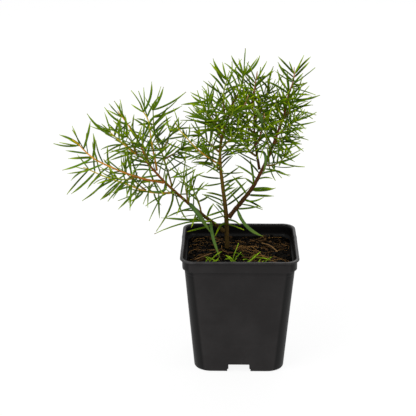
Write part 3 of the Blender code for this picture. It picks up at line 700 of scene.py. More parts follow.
@dataclass
class NurseryPot:
    """A tapered square pot with a rim band, a thin wavy lip and a drain pocket under each side."""

    rim_width: float = 100.0
    height: float = 105.0
    base_width: float = 77.0
    shoulder_width: float = 93.2
    band_width: float = 96.4
    band_height: float = 10.0
    lip: float = 1.5
    wall: float = 1.2
    rim_corner: float = 12.0
    base_corner: float = 14.0
    pocket_width: float = 18.0
    pocket_foot_width: float = 20.0
    pocket_foot_height: float = 2.6
    pocket_height: float = 7.2
    pocket_depth: float = 20.0
    drain_radius: float = 3.0
    foot_rounding: float = 2.6
    sag: float = 0.5
    groove: float = 0.14
    grooves_at: tuple[float, float] = (-4.9, -1.9)
    tub: SquareTub = field(default_factory=SquareTub)

    def body_width(self, z: float) -> float:
        """Outside width of the tapered body at a height."""
        return self.base_width + (self.shoulder_width - self.base_width) * z / (self.height - self.band_height)

    def body_corner(self, z: float) -> float:
        """Outside corner radius at a height."""
        return self.base_corner + (self.rim_corner - self.base_corner) * z / self.height

    def walls(self, inset: float, bottom: float, top: float, steps: int) -> list[tuple[float, float, float]]:
        """Levels of the tapered body.

        Args:
            inset: How far the levels lie inside the outer face.
            bottom: Height of the lowest level.
            top: Height of the highest level.
            steps: Levels on the straight of the wall.

        Returns:
            The levels, from a rounded foot up.
        """
        rounding = self.foot_rounding
        foot = self.body_width(bottom + rounding) - 2 * inset
        corner = self.body_corner(bottom) - inset
        levels = []
        for step in range(5):
            angle = math.radians(90 * step / 4)
            back = 2 * rounding * (1 - math.sin(angle))
            levels.append((foot - back, corner - back / 4, bottom + rounding * (1 - math.cos(angle))))
        for step in range(1, steps + 1):
            z = bottom + rounding + (top - bottom - rounding) * step / steps
            levels.append((self.body_width(z) - 2 * inset, self.body_corner(z) - inset, z))
        return levels

    def pockets(self, name: str, grow: float) -> bpy.types.Object:
        """A cutter for the drain pockets of all four sides.

        Args:
            name: The cutter's name.
            grow: How much larger than the pockets it is, for the walls round them.

        Returns:
            The cutter.
        """
        foot = self.pocket_foot_width / 2 + grow
        neck = self.pocket_width / 2 + grow
        near = self.base_width / 2 - self.pocket_depth - grow
        far = self.base_width / 2 + 8
        shelf = self.pocket_foot_height
        arms = []
        for quarter in range(4):
            Bench.clear()
            middle = ((near + far) / 2) * MM
            turn = math.pi / 2 * quarter
            place = (-middle * math.sin(turn), middle * math.cos(turn), (shelf - 2.0) / 2 * MM)
            bpy.ops.mesh.primitive_cube_add(size=1.0, location=place, rotation=(0, 0, turn),
                                            scale=(2 * foot * MM, (far - near) * MM, (shelf + 2.0) * MM))
            arm = bpy.context.view_layer.objects.active
            bpy.ops.object.transform_apply(location=True, rotation=True, scale=True)
            bpy.ops.object.mode_set(mode="EDIT")
            bpy.ops.mesh.select_all(action="DESELECT")
            mesh = bmesh.from_edit_mesh(arm.data)
            for face in mesh.faces:
                face.select_set(face.normal.z > 0.9)
            bmesh.update_edit_mesh(arm.data)
            side = tuple(neck / foot if axis == quarter % 2 else 1.0 for axis in range(2))
            bpy.ops.mesh.extrude_region_move(TRANSFORM_OT_translate={"value": (0, 0, (0.6 + grow) * MM)})
            bpy.ops.transform.resize(value=(*side, 1.0))
            rise = self.pocket_height - shelf - 0.6
            bpy.ops.mesh.extrude_region_move(TRANSFORM_OT_translate={"value": (0, 0, rise * MM)})
            bpy.ops.object.mode_set(mode="OBJECT")
            arms.append(arm)
        return Bench.join(arms, name)

    def drains(self) -> bpy.types.Object:
        """A cutter for the round drain hole in the ceiling of each pocket."""
        distance = (self.base_width / 2 - self.pocket_depth / 2) * MM
        holes = []
        for quarter in range(4):
            turn = math.pi / 2 * quarter
            place = (-distance * math.sin(turn), distance * math.cos(turn), (self.pocket_height + 0.6) * MM)
            Bench.clear()
            bpy.ops.mesh.primitive_cylinder_add(vertices=32, radius=self.drain_radius * MM, depth=3 * MM,
                                                location=place)
            bpy.ops.object.transform_apply(location=True, rotation=True, scale=True)
            holes.append(bpy.context.view_layer.objects.active)
        return Bench.join(holes, "drain_cutter")

    def wave(self, thing: bpy.types.Object) -> None:
        """Gives the thin wall its slight waves: the lip rises and dips, the flanks bow a little."""
        rows = Bench.corners(thing)
        for row in rows:
            x, y, z = row / MM
            high = max(0.0, (z - (self.height - self.band_height)) / self.band_height)
            bearing = math.atan2(y, x)
            lift = 0.22 * math.sin(3 * bearing + 0.7) + 0.16 * math.sin(7 * bearing + 2.1)
            lift += 0.08 * math.sin(17 * bearing) - 0.05
            row[2] += self.sag * lift * high**2 * MM * 1.2
            bow = 0.35 * math.sin(2 * bearing + 0.4) + 0.2 * math.sin(5 * bearing + 1.0)
            nub = sum(math.exp(-((y - at) / 2.2) ** 2) for at in (-23.0, 14.0)) if abs(x) > 45 else 0.0
            flank = math.sin(math.pi * min(1.0, max(0.0, z / 95)))
            push = (0.45 * bow * (0.35 * flank + 0.65 * high) + 0.35 * nub * high**3) * MM
            reach = math.hypot(x, y)
            row[0] += push * x / reach
            row[1] += push * y / reach
        Bench.move_corners(thing, rows)

    def build(self) -> bpy.types.Object:
        """Models the pot and hands it over."""
        shoulder = self.height - self.band_height
        under_lip = self.height - self.lip
        outside = self.walls(0.0, 0.0, shoulder - 6.0, 22)
        for z in (-5.2, -4.9, -4.6, -2.2, -1.9, -1.6, -0.5):
            height = shoulder + z
            groove = self.groove if z in self.grooves_at else 0.0
            outside.append((self.body_width(height) - groove, self.body_corner(height), height))
        band = self.band_width
        outside += [(band - 0.9, self.rim_corner, shoulder - 0.1), (band - 0.25, self.rim_corner, shoulder + 0.15),
                    (band, self.rim_corner, shoulder + 0.6)]
        for step in range(1, 6):
            height = shoulder + 0.6 + (under_lip - 1.4 - shoulder) * step / 5
            outside.append((band + 0.25 * step / 5, self.rim_corner, height))
        rim = self.rim_width
        lip = [(band + 0.9, under_lip - 0.45), (rim - 1.3, under_lip - 0.12), (rim - 0.4, under_lip + 0.1),
               (rim, under_lip + 0.5), (rim, self.height - 0.6), (rim - 0.35, self.height - 0.2),
               (rim - 1.0, self.height)]
        outside += [(width, self.rim_corner, height) for width, height in lip]
        pot = self.tub.draw("pot_shell", outside)
        inner = band - 2 * self.wall
        corner = self.rim_corner - self.wall
        inside = self.walls(self.wall, self.wall, shoulder - 1.0, 22)
        inside += [(inner - 0.6, corner, shoulder + 0.3), (inner, corner, shoulder + 1.5)]
        for step in range(1, 5):
            inside.append((inner, corner, shoulder + 1.5 + (self.band_height - 2.9) * step / 4))
        inside += [(inner + 0.4, corner, self.height - 0.8), (inner + 1.2, corner, self.height - 0.2),
                   (inner + 1.9, corner, self.height + 0.6), (inner + 1.9, corner, self.height + 4.0)]
        hollow = self.tub.draw("pot_hollow", inside)
        Bench.cut(hollow, self.pockets("pocket_walls", self.wall))
        Bench.cut(pot, hollow)
        self.wave(pot)
        Bench.cut(pot, self.pockets("pocket_cutter", 0.0))
        Bench.cut(pot, self.drains())
        Bench.smooth(pot, 38)
        # The inside attribute marks inward-facing walls and the pot's inside, where the plastic gets painted
        # shade.
        inward = np.array([-(v.normal.x * v.co.x + v.normal.y * v.co.y) / v.co.xy.length
                           for v in pot.data.vertices])
        rows = Bench.corners(pot) / MM
        within = np.maximum(abs(rows[:, 0]), abs(rows[:, 1])) < self.body_width(rows[:, 2]) / 2 - 0.7
        within &= (rows[:, 2] > 1.0) & (rows[:, 2] < self.height - 1.0)
        Bench.paint(pot, "inside", np.clip(np.maximum(inward * 2, within), 0, 1)[:, None])
        Bench.wear(pot, PlasticFinish().material())
        Bench.settle(pot, "pot_plastic", "pot")
        return pot


class Ground:
    """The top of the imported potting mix, for whatever lies on it."""

    def __init__(self, node: str, foot: Vector) -> None:
        """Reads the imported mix.

        Args:
            node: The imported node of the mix.
            foot: A point on the trunk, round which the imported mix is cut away.
        """
        mesh = bmesh.new()
        mesh.from_mesh(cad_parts[node].data)
        self.tree = BVHTree.FromBMesh(mesh)
        mesh.free()
        self.foot = foot
        self.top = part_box(node)[1].z

    def hit(self, x: float, y: float) -> float | None:
        """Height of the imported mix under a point, or None outside it."""
        place = self.tree.ray_cast(Vector((x, y, self.top + 0.05)), Vector((0, 0, -1)))[0]
        return None if place is None or place.z < self.top - 12 * MM else place.z

    def height(self, x: float, y: float) -> float:
        """Height of the mix's top at a point, carried on over the cut round the trunk and past the edge.

        Args:
            x: Across, in metres.
            y: Depth, in metres.

        Returns:
            The height in metres.
        """
        found = self.hit(x, y)
        if found is not None:
            return found
        if math.hypot(x - self.foot.x, y - self.foot.y) < 6 * MM:
            around = [self.hit(self.foot.x + 5 * MM * math.cos(a), self.foot.y + 5 * MM * math.sin(a))
                      for a in range(6)]
            around = [z for z in around if z is not None]
            return sum(around) / len(around)
        for share in (0.97, 0.93, 0.88):
            found = self.hit(x * share, y * share)
            if found is not None:
                return found
        return self.top - 4 * MM


@dataclass
class PottingMix:
    """The potting mix, with its rough top and the crumbs, chips and fibres in it."""

    pot: NurseryPot
    ground: Ground
    clear: float = 0.3
    rings: int = 42
    roughness: float = 1.5
    chip_count: int = 420
    crumb_count: int = 500
    fibre_count: int = 130
    bundle_count: int = 16
    cross_count: int = 16
    tub: SquareTub = field(default_factory=lambda: SquareTub(6, 19))

    def surface(self, x: float, y: float) -> float:
        """Height of the rough top at a point, in metres."""
        grain = noise.fractal(Vector((x, y, 0.3)) / MM * 0.16, 0.8, 2.2, 5)
        clods = abs(noise.noise(Vector((x, y, 2.0)) / MM * 0.33))
        return self.ground.height(x, y) + self.roughness * (0.55 * grain + 0.9 * clods - 0.35) * MM

    def half_width(self) -> float:
        """Half the width of the mix at its top, in millimetres."""
        return self.pot.body_width(93.0) / 2 - self.pot.wall - self.clear

    def random_place(self, chance: random.Random, margin: float) -> tuple[float, float]:
        """A random point on the mix, in metres, at least a margin of millimetres from the pot's wall."""
        half = self.half_width() - margin
        while True:
            x, y = chance.uniform(-half, half), chance.uniform(-half, half)
            cut = max(0.0, abs(x) - half + 9), max(0.0, abs(y) - half + 9)
            if math.hypot(*cut) < 9:
                return x * MM, y * MM

    def build_body(self) -> bpy.types.Object:
        """Models the mix itself as one closed solid that fills the pot."""
        inset = self.pot.wall + self.clear
        levels = self.pot.walls(inset, inset, 91.0, 4)
        width = self.pot.body_width(93.0) - 2 * inset
        corner = self.pot.rim_corner - inset
        for ring in range(self.rings):
            share = 1 - ring / self.rings
            levels.append((width * share, corner * share, 93.0))
        mix = self.tub.draw("mix_body", levels)
        rows = Bench.corners(mix)
        for row in rows:
            if row[2] > 92.9 * MM:
                row[2] = self.surface(row[0], row[1])
        Bench.move_corners(mix, rows)
        Bench.cut(mix, self.pot.pockets("mix_pockets", self.pot.wall + self.clear))
        Bench.smooth(mix, 60)
        Bench.wear(mix, MixFinish().material())
        Bench.settle(mix, "potting_mix", "potting_mix")
        return mix

    def chip_shape(self, seed: int, cuts: int) -> bpy.types.Object:
        """One rough chip, a unit across, that its copies are scaled from."""
        Bench.clear()
        bpy.ops.mesh.primitive_cube_add(size=1.0)
        chip = bpy.context.view_layer.objects.active
        bpy.ops.object.mode_set(mode="EDIT")
        bpy.ops.mesh.subdivide(number_cuts=cuts, smoothness=0.35)
        bpy.ops.object.mode_set(mode="OBJECT")
        rows = Bench.corners(chip)
        chance = random.Random(seed)
        for row in rows:
            row += np.array([chance.uniform(-0.16, 0.16) for _ in range(3)], np.float32)
        Bench.move_corners(chip, rows)
        return chip

    def scatter(self, name: str, count: int, size: tuple[float, float], shape: tuple[float, float, float],
                cuts: int, seed: int) -> bpy.types.Object:
        """Copies chips all over the top of the mix.

        Args:
            name: The piece's name.
            count: How many.
            size: Smallest and largest length, in millimetres.
            shape: Share of the length on each axis.
            cuts: Cuts on the sides of the chip that is copied.
            seed: Seed of the random draws.

        Returns:
            The joined chips.
        """
        chance = random.Random(seed)
        patterns = [self.chip_shape(seed + i, cuts) for i in range(3)]
        copies = []
        for number in range(count):
            source = patterns[number % 3]
            chip = bpy.data.objects.new(name, source.data.copy())
            bpy.context.scene.collection.objects.link(chip)
            length = chance.uniform(*size)
            x, y = self.random_place(chance, 2.0)
            turn = Vector([chance.uniform(-1, 1) for _ in range(3)]).normalized()
            flat = Vector((0.35 * turn.x, 0.35 * turn.y, 1)).to_track_quat("Z", "Y").to_matrix()
            spin = math.pi * 2 * chance.random()
            rows = Bench.corners(chip) * np.array(shape) * length * MM
            spun = np.array([[math.cos(spin), -math.sin(spin), 0], [math.sin(spin), math.cos(spin), 0], [0, 0, 1]])
            rows = rows @ spun.T @ np.array(flat).T
            rise = self.surface(x, y) + chance.uniform(0.05, 0.4) * length * shape[2] * MM
            Bench.move_corners(chip, rows + np.array([x, y, rise]))
            Bench.paint(chip, "growth", np.array([0.0, chance.random() ** 1.6, 0.0]))
            copies.append(chip)
        for source in patterns:
            bpy.data.objects.remove(source, do_unlink=True)
        return Bench.join(copies, name)

    def fibre(self, chance: random.Random, x: float, y: float, heading: float, length: float,
              lift: float) -> list[Vector]:
        """A thin root that wanders over the mix.

        Args:
            chance: Source of its turns.
            x: Where it starts, across, in metres.
            y: Where it starts, in depth.
            heading: Its first bearing, in radians.
            length: Its length in millimetres.
            lift: How high it arches over the mix, in millimetres.

        Returns:
            Points along it.
        """
        steps = max(5, int(length / 1.6))
        step = length / steps * MM
        half = (self.half_width() - 1.2) * MM
        bend = chance.uniform(-0.25, 0.25)
        points = []
        for i in range(steps + 1):
            share = i / steps
            z = self.surface(x, y) + (0.15 + lift * math.sin(math.pi * share)) * MM
            points.append(Vector((x, y, z)))
            bend = 0.75 * bend + chance.uniform(-0.16, 0.16)
            heading += bend
            x = min(half, max(-half, x + step * math.cos(heading)))
            y = min(half, max(-half, y + step * math.sin(heading)))
        return through(points[::2] if len(points) > 8 else points, 1.1 * MM)

    def build_fibres(self) -> bpy.types.Object:
        """Models the tangle of fine roots that lies over the mix, thickest to the right of the trunk."""
        chance = random.Random(31)
        paths = []
        for _ in range(self.fibre_count):
            x, y = self.random_place(chance, 4.0)
            paths.append(self.fibre(chance, x, y, chance.uniform(0, 2 * math.pi), chance.uniform(8, 30),
                                    chance.uniform(0.1, 2.2)))
        for _ in range(self.bundle_count):
            x = self.ground.foot.x + chance.uniform(2.5, 7) * MM
            y = self.ground.foot.y + chance.uniform(-6, 3) * MM
            paths.append(self.fibre(chance, x, y, chance.uniform(-0.6, 0.5), chance.uniform(14, 34),
                                    chance.uniform(0.5, 3.0)))
        for i in range(self.cross_count):
            paths.append(self.fibre(chance, chance.uniform(12, 30) * MM, chance.uniform(-34, -8) * MM,
                                    chance.uniform(-0.5, 0.5) + math.pi * (i % 2), chance.uniform(16, 34),
                                    chance.uniform(1.0, 3.5)))
        radii = []
        for path in paths:
            thick = (0.07 + 0.14 * chance.random() ** 2) * MM
            radii.append([thick * (1 - 0.6 * i / len(path)) for i in range(len(path))])
        fibres = tubes("root_fibres", paths, radii, 0)
        Bench.smooth(fibres, 80)
        finish = LitterFinish("root_fibre", tone(14, 9, 5), tone(150, 112, 62), 0.7, 0.05, 0.42)
        Bench.wear(fibres, finish.material())
        Bench.settle(fibres, "dry_straw")
        return fibres

    def build(self) -> None:
        """Models the mix and everything in its top."""
        self.build_body()
        chips = self.scatter("bark_chips", self.chip_count, (1.6, 5.5), (1.0, 0.42, 0.22), 1, 11)
        Bench.smooth(chips, 30)
        Bench.wear(chips, LitterFinish("bark_chip", tone(4, 3, 2), tone(66, 46, 24), 0.75, 0.2, 0.45).material())
        Bench.settle(chips, "potting_mix")
        crumbs = self.scatter("mix_crumbs", self.crumb_count, (0.7, 2.0), (1.0, 0.8, 0.6), 1, 23)
        Bench.smooth(crumbs, 60)
        Bench.wear(crumbs, LitterFinish("mix_crumb", tone(4, 3, 2), tone(48, 34, 18), 0.85, 0.2, 0.45).material())
        Bench.settle(crumbs, "potting_mix")
        self.build_fibres()


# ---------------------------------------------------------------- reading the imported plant


@dataclass
class Blade:
    """The line of one leaf, from the stem to its tip."""

    points: np.ndarray
    up: Vector
    width: float
    youth: float = 0.0
    silver: float = 0.0
    pink: float = 0.0
    gold: float = 0.0


class PackedStem:
    """The middle line, thickness and leaves of one packed stem, read from its solid."""

    def __init__(self, name: str, underground: float = 0.0) -> None:
        """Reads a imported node.

        Args:
            name: The node's name.
            underground: Height under which blades are roots and are left out, in metres.
        """
        self.name = name
        mesh = bmesh.new()
        mesh.from_mesh(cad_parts[name].data)
        bmesh.ops.remove_doubles(mesh, verts=mesh.verts, dist=0.02 * MM)
        mesh.verts.ensure_lookup_table()
        self.near = [{edge.other_vert(v).index for edge in v.link_edges} for v in mesh.verts]
        self.at = [v.co.copy() for v in mesh.verts]
        mesh.free()
        self.leaf_corners = set()
        blades = [self.walk_blade(tip) for tip in range(len(self.at)) if self.is_tip(tip)]
        self.rings = self.walk_stem()
        self.path = [self.middle(ring) for ring in self.rings]
        self.radii = [sum((self.at[i] - centre).length for i in ring) / len(ring)
                      for ring, centre in zip(self.rings, self.path)]
        self.seats = [self.middle(loops[-1]) for loops in blades]
        self.blades = [self.read_blade(loops) for loops in blades if self.at[loops[0][0]].z > underground]

    def middle(self, corners: list[int] | set[int]) -> Vector:
        """Middle of some corners."""
        return sum((self.at[i] for i in corners), Vector()) / len(corners)

    def is_tip(self, corner: int) -> bool:
        """Whether a corner is the pointed end of a blade."""
        if len(self.near[corner]) != 4:
            return False
        ways = [(self.at[i] - self.at[corner]).normalized() for i in self.near[corner]]
        return min(a.dot(b) for a in ways for b in ways) > math.cos(math.radians(40))

    def walk_blade(self, tip: int) -> list[list[int]]:
        """The corners of a blade from its tip to its seat on the stem, loop by loop."""
        loops = [[tip], sorted(self.near[tip])]
        seen = {tip, *loops[1]}
        while True:
            onward = set().union(*(self.near[i] for i in loops[-1])) - seen
            if len(onward) != 4:
                break
            seen |= onward
            loops.append(sorted(onward))
        for loop in loops[:-1]:
            self.leaf_corners.update(loop)
        return loops

    def walk_stem(self) -> list[set[int]]:
        """The rings of the stem from its foot to its tip."""
        stem = set(range(len(self.at))) - self.leaf_corners

        def farthest(start: int) -> int:
            """The corner that takes most steps to reach."""
            reached = {start}
            edge = {start}
            while True:
                onward = (set().union(*(self.near[i] for i in edge)) & stem) - reached
                if not onward:
                    return min(edge)
                reached |= onward
                edge = onward

        first = farthest(min(stem))
        second = farthest(first)

        def longest(corner: int) -> float:
            """Length of a corner's longest edge along the stem."""
            return max((self.at[i] - self.at[corner]).length for i in self.near[corner] & stem)

        foot = max((first, second), key=longest)
        limit = 0.62 * longest(foot)
        ring = {foot}
        while True:
            onward = {k for i in ring for k in self.near[i] & stem
                      if k not in ring and (self.at[k] - self.at[i]).length < limit}
            if not onward:
                break
            ring |= onward
        rings = [ring]
        seen = set(ring)
        while True:
            onward = (set().union(*(self.near[i] for i in rings[-1])) & stem) - seen
            if not onward:
                return rings
            seen |= onward
            rings.append(onward)

    def tangent(self, place: Vector) -> Vector:
        """Direction of the stem next to a point, towards its tip."""
        i = min(range(len(self.path)), key=lambda k: (self.path[k] - place).length)
        return (self.path[min(i + 1, len(self.path) - 1)] - self.path[max(i - 1, 0)]).normalized()

    def read_blade(self, loops: list[list[int]]) -> Blade:
        """Turns the loops of a blade into the smooth line of a leaf."""
        seat, tip = self.middle(loops[-1]), self.at[loops[0][0]]
        if len(loops) == 3:
            bend = 2 * self.middle(loops[1]) - (seat + tip) / 2
        else:
            bend = (9 * self.middle(loops[2]) - 4 * seat - tip) / 4
            bend = (bend + (9 * self.middle(loops[1]) - seat - 4 * tip) / 4) / 2
        line = arc(seat, bend, tip, 13)
        ring = np.array([self.at[i] for i in loops[-2]])
        spread = np.linalg.svd(ring - ring.mean(0))[2][0]
        width = 2 * np.abs((ring - ring.mean(0)) @ spread).max()
        along = (tip - seat).normalized()
        up = along.cross(Vector(spread))
        if up.dot(self.tangent(seat)) < 0:
            up = -up
        return Blade(line, up, width)


# ---------------------------------------------------------------- leaves


@dataclass
class NeedleLeaf:
    """The leaf that all others are copied from: a narrow blade with a grooved midrib and rolled margins."""

    length: float = 20.0
    width: float = 1.4
    thickness: float = 0.5
    fullness: float = 1.22
    least_roll: float = 45.0
    most_roll: float = 90.0
    across: int = 4
    along: int = 8
    groove: float = 0.16
    roll: float = 0.2
    seed: int = 5

    def outline(self, share: float) -> float:
        """Share of the full width at a share of the length."""
        stalk = 0.5 + 0.5 * min(1.0, share / 0.12)
        point = max(0.06, 1 - max(0.0, (share - 0.6) / 0.4) ** 2.2)
        return stalk * point

    def model(self) -> None:
        """Models the leaf flat along +Y, a millimetre unit being a metre here."""
        Bench.clear()
        bpy.ops.mesh.primitive_grid_add(x_subdivisions=self.across, y_subdivisions=self.along, size=1.0,
                                        location=(0, 0.5, 0))
        leaf = bpy.context.view_layer.objects.active
        leaf.name = "needle_pattern"
        bpy.ops.object.transform_apply(location=True, rotation=True, scale=True)
        rows = Bench.corners(leaf)
        shares = rows[:, 1].copy()
        sides = np.abs(rows[:, 0]) * 2
        rows[:, 0] *= self.width * np.array([self.outline(s) for s in shares])
        hollow = np.where(sides < 0.05, -self.groove, np.where(sides > 0.9, -self.roll, 0.0))
        rows[:, 2] = hollow * np.array([self.outline(s) for s in shares])
        rows[:, 1] *= self.length
        Bench.move_corners(leaf, rows)
        Bench.apply(leaf, "SOLIDIFY", thickness=self.thickness, offset=-1.0, use_even_offset=False)
        Bench.smooth(leaf, 75)
        rows = Bench.corners(leaf)
        shares = np.clip(rows[:, 1] / self.length, 0, 1)
        full = self.width / 2 * np.array([self.outline(s) for s in shares])
        sides = np.clip(np.abs(rows[:, 0]) / np.maximum(full, 0.02), 0, 1)
        under = np.array([1.0 if v.normal.z < 0 else 0.0 for v in leaf.data.vertices])
        Bench.paint(leaf, "blade", np.stack([shares, sides, under], axis=1))
        self.pattern = leaf
        self.rows = rows
        self.shares = shares
        self.chance = random.Random(self.seed)

    def copy(self, blade: Blade) -> bpy.types.Object:
        """Bends a copy of the leaf along a blade's line.

        Args:
            blade: The line, the side that faces up, and the width.

        Returns:
            The new leaf.
        """
        leaf = bpy.data.objects.new("leaf", self.pattern.data.copy())
        bpy.context.scene.collection.objects.link(leaf)
        knots = np.linspace(0, 1, len(blade.points))
        line = blade.points
        slopes = np.gradient(line, axis=0)
        place = np.stack([np.interp(self.shares, knots, line[:, k]) for k in range(3)], axis=1)
        ahead = np.stack([np.interp(self.shares, knots, slopes[:, k]) for k in range(3)], axis=1)
        ahead /= np.linalg.norm(ahead, axis=1, keepdims=True)
        twist = self.chance.uniform(-0.5, 0.5)
        roll = math.radians(self.chance.uniform(self.least_roll, self.most_roll)) * self.chance.choice((-1, 1))
        if blade.silver > BROAD_SILVER:
            roll, twist = 0.2 * roll, 0.4 * twist
        up = np.array(blade.up)
        up = up - (ahead @ up)[:, None] * ahead
        up /= np.linalg.norm(up, axis=1, keepdims=True)
        side = np.cross(ahead, up)
        turn = (roll + twist * self.shares)[:, None]
        up, side = up * np.cos(turn) + side * np.sin(turn), side * np.cos(turn) - up * np.sin(turn)
        wide = self.fullness * blade.width / self.width
        thick = (wide * MM) ** 0.5
        rows = place + self.rows[:, :1] * wide * side + self.rows[:, 2:] * thick * up
        Bench.move_corners(leaf, rows)
        tint = self.chance.random()
        Bench.paint(leaf, "growth", np.array([tint, blade.youth, blade.silver]))
        Bench.paint(leaf, "flush", np.array([blade.pink, blade.gold, 0.0]))
        return leaf

    def put_away(self) -> None:
        """Removes the pattern when every leaf is made."""
        bpy.data.objects.remove(self.pattern, do_unlink=True)


@dataclass
class Shrub:
    """All the stems with their leaves."""

    leaf: NeedleLeaf
    foot_height: float = 84.0
    broad: float = 1.8
    broad_side: tuple[float, float, float] = (0, -1, 0.45)
    step: float = 1.0
    tuft: int = 4
    tuft_length: float = 19.0
    tuft_shortening: float = 12.5
    fill: int = 5
    fill_length: tuple[float, float] = (14, 20)
    fill_lean: tuple[float, float] = (48, 80)
    filled: tuple[str, ...] = ("crown_", "leader_", "middle_shoot", "right_shoot")
    seed: int = 19

    def bark_line(self, stem: PackedStem) -> tuple[list[Vector], list[float]]:
        """Middle line and radii of a stem, carried back into its parent and on to a fine tip.

        Args:
            stem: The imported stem.

        Returns:
            Points and the radius at each.
        """
        knots = stem.path[:-1] if len(stem.path) > 3 else stem.path
        back = (knots[0] - knots[1]).normalized() * (stem.radii[0] + 0.7 * MM)
        line = through([knots[0] + back, *knots, stem.path[-1]], self.step * MM)
        first, last = stem.radii[0], stem.radii[-1]
        radii = []
        for i, place in enumerate(line):
            share = i / (len(line) - 1)
            radius = first + (last - first) * share
            swell = 0.35 * math.exp(-share * len(line) * self.step / 2.2)
            knot = max((math.exp(-(((place - seat).length - radius) / (0.7 * MM)) ** 2) for seat in stem.seats),
                       default=0.0)
            ripple = noise.noise(place / MM * 0.35)
            radii.append(radius * (1 + swell + 0.14 * knot + 0.1 * ripple))
        radii[-1] *= 0.45
        return line, radii

    def tip_tuft(self, stem: PackedStem, chance: random.Random) -> list[Blade]:
        """The small young leaves that close round the tip of a stem."""
        tip = stem.path[-1]
        axis = (tip - stem.path[-3]).normalized()
        side = axis.orthogonal().normalized()
        other = axis.cross(side)
        blades = []
        for i in range(self.tuft):
            turn = GOLDEN_TURN * i + chance.uniform(-0.3, 0.3)
            out = math.cos(turn) * side + math.sin(turn) * other
            lean = math.radians(12 + 26 * (1 - i / self.tuft))
            length = self.tuft_length - self.tuft_shortening * i / (self.tuft - 1)
            length = length * chance.uniform(0.8, 1.2) * MM
            ahead = math.cos(lean) * axis + math.sin(lean) * out
            start = tip - axis * (2.2 - 0.35 * i) * MM
            bend = start + ahead * length * 0.5
            end = bend + (ahead + 0.25 * axis).normalized() * length * 0.5
            width = chance.uniform(0.9, 1.2) * MM
            blade = Blade(arc(start, bend, end, 9), -out, width, 0.35 + 0.4 * i / self.tuft)
            if i == self.tuft - 1:
                kind = BARK_OF_STEM.get(stem.name, Bark.YOUNG)
                blade.pink = 0.7 if kind is Bark.PINK else 0.0
                blade.gold = 0.6 if kind in (Bark.ORANGE, Bark.YELLOW) else 0.0
            blades.append(blade)
        return blades

    def fill_leaves(self, stem: PackedStem, chance: random.Random) -> list[Blade]:
        """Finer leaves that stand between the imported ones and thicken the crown.

        Args:
            stem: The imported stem.
            chance: Source of their places.

        Returns:
            The leaves' lines.
        """
        blades = []
        for i in range(self.fill):
            turn = GOLDEN_TURN * (i + 0.5) + chance.uniform(-0.4, 0.4)
            place = (0.12 + 0.68 * (i + chance.random()) / self.fill) * (len(stem.path) - 1)
            knot = int(place)
            foot = stem.path[knot].lerp(stem.path[knot + 1], place - knot)
            axis = stem.tangent(foot)
            side = axis.orthogonal().normalized()
            out = math.cos(turn) * side + math.sin(turn) * axis.cross(side)
            lean = math.radians(chance.uniform(*self.fill_lean))
            ahead = math.cos(lean) * axis + math.sin(lean) * out
            length = chance.uniform(*self.fill_length) * MM
            bend = foot + ahead * length * 0.5
            onward = ahead + 0.3 * axis + Vector((0, 0, chance.uniform(-0.3, 0.3)))
            end = bend + onward.normalized() * length * 0.5
            width = chance.uniform(1.0, 1.4) * MM
            blades.append(Blade(arc(foot, bend, end, 9), axis, width, 0.2 * chance.random()))
        return blades

    def grow(self, name: str, chance: random.Random) -> None:
        """Models one stem's bark and its leaves.

        Args:
            name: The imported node.
            chance: Source of the small differences between leaves.
        """
        stem = PackedStem(name, self.foot_height * MM)
        kind = BARK_OF_STEM.get(name, Bark.YOUNG)
        line, radii = self.bark_line(stem)
        woody = kind in (Bark.OLD, Bark.RUST, Bark.RED)
        bark = tubes(name + "_bark", [line], [radii], 3 if woody else 2)
        Bench.smooth(bark, 80)
        Bench.wear(bark, self.barks[kind])
        Bench.settle(bark, "bark" if woody else "foliage", name)
        for blade in stem.blades:
            blade.silver = 0.25 * chance.random() ** 3 if blade.width <= self.broad * MM else 1.0
            if blade.silver > BROAD_SILVER:
                blade.up = Vector(self.broad_side)
            blade.youth = 0.3 * chance.random() ** 2
        blades = stem.blades + self.tip_tuft(stem, chance)
        if name.startswith(self.filled):
            blades += self.fill_leaves(stem, chance)
        leaves = Bench.join([self.leaf.copy(blade) for blade in blades], name + "_leaves")
        Bench.wear(leaves, self.green)
        Bench.settle(leaves, "foliage")

    def build(self) -> None:
        """Models every stem of the frame."""
        self.leaf.model()
        self.green = LeafFinish().material()
        self.barks = {kind: kind.value.material() for kind in Bark}
        chance = random.Random(self.seed)
        for name in sorted(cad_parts):
            if name.endswith(("limb", "leader", "branch", "twig", "spur")) or "_shoot_" in name:
                self.grow(name, chance)


# ---------------------------------------------------------------- litter on the mix


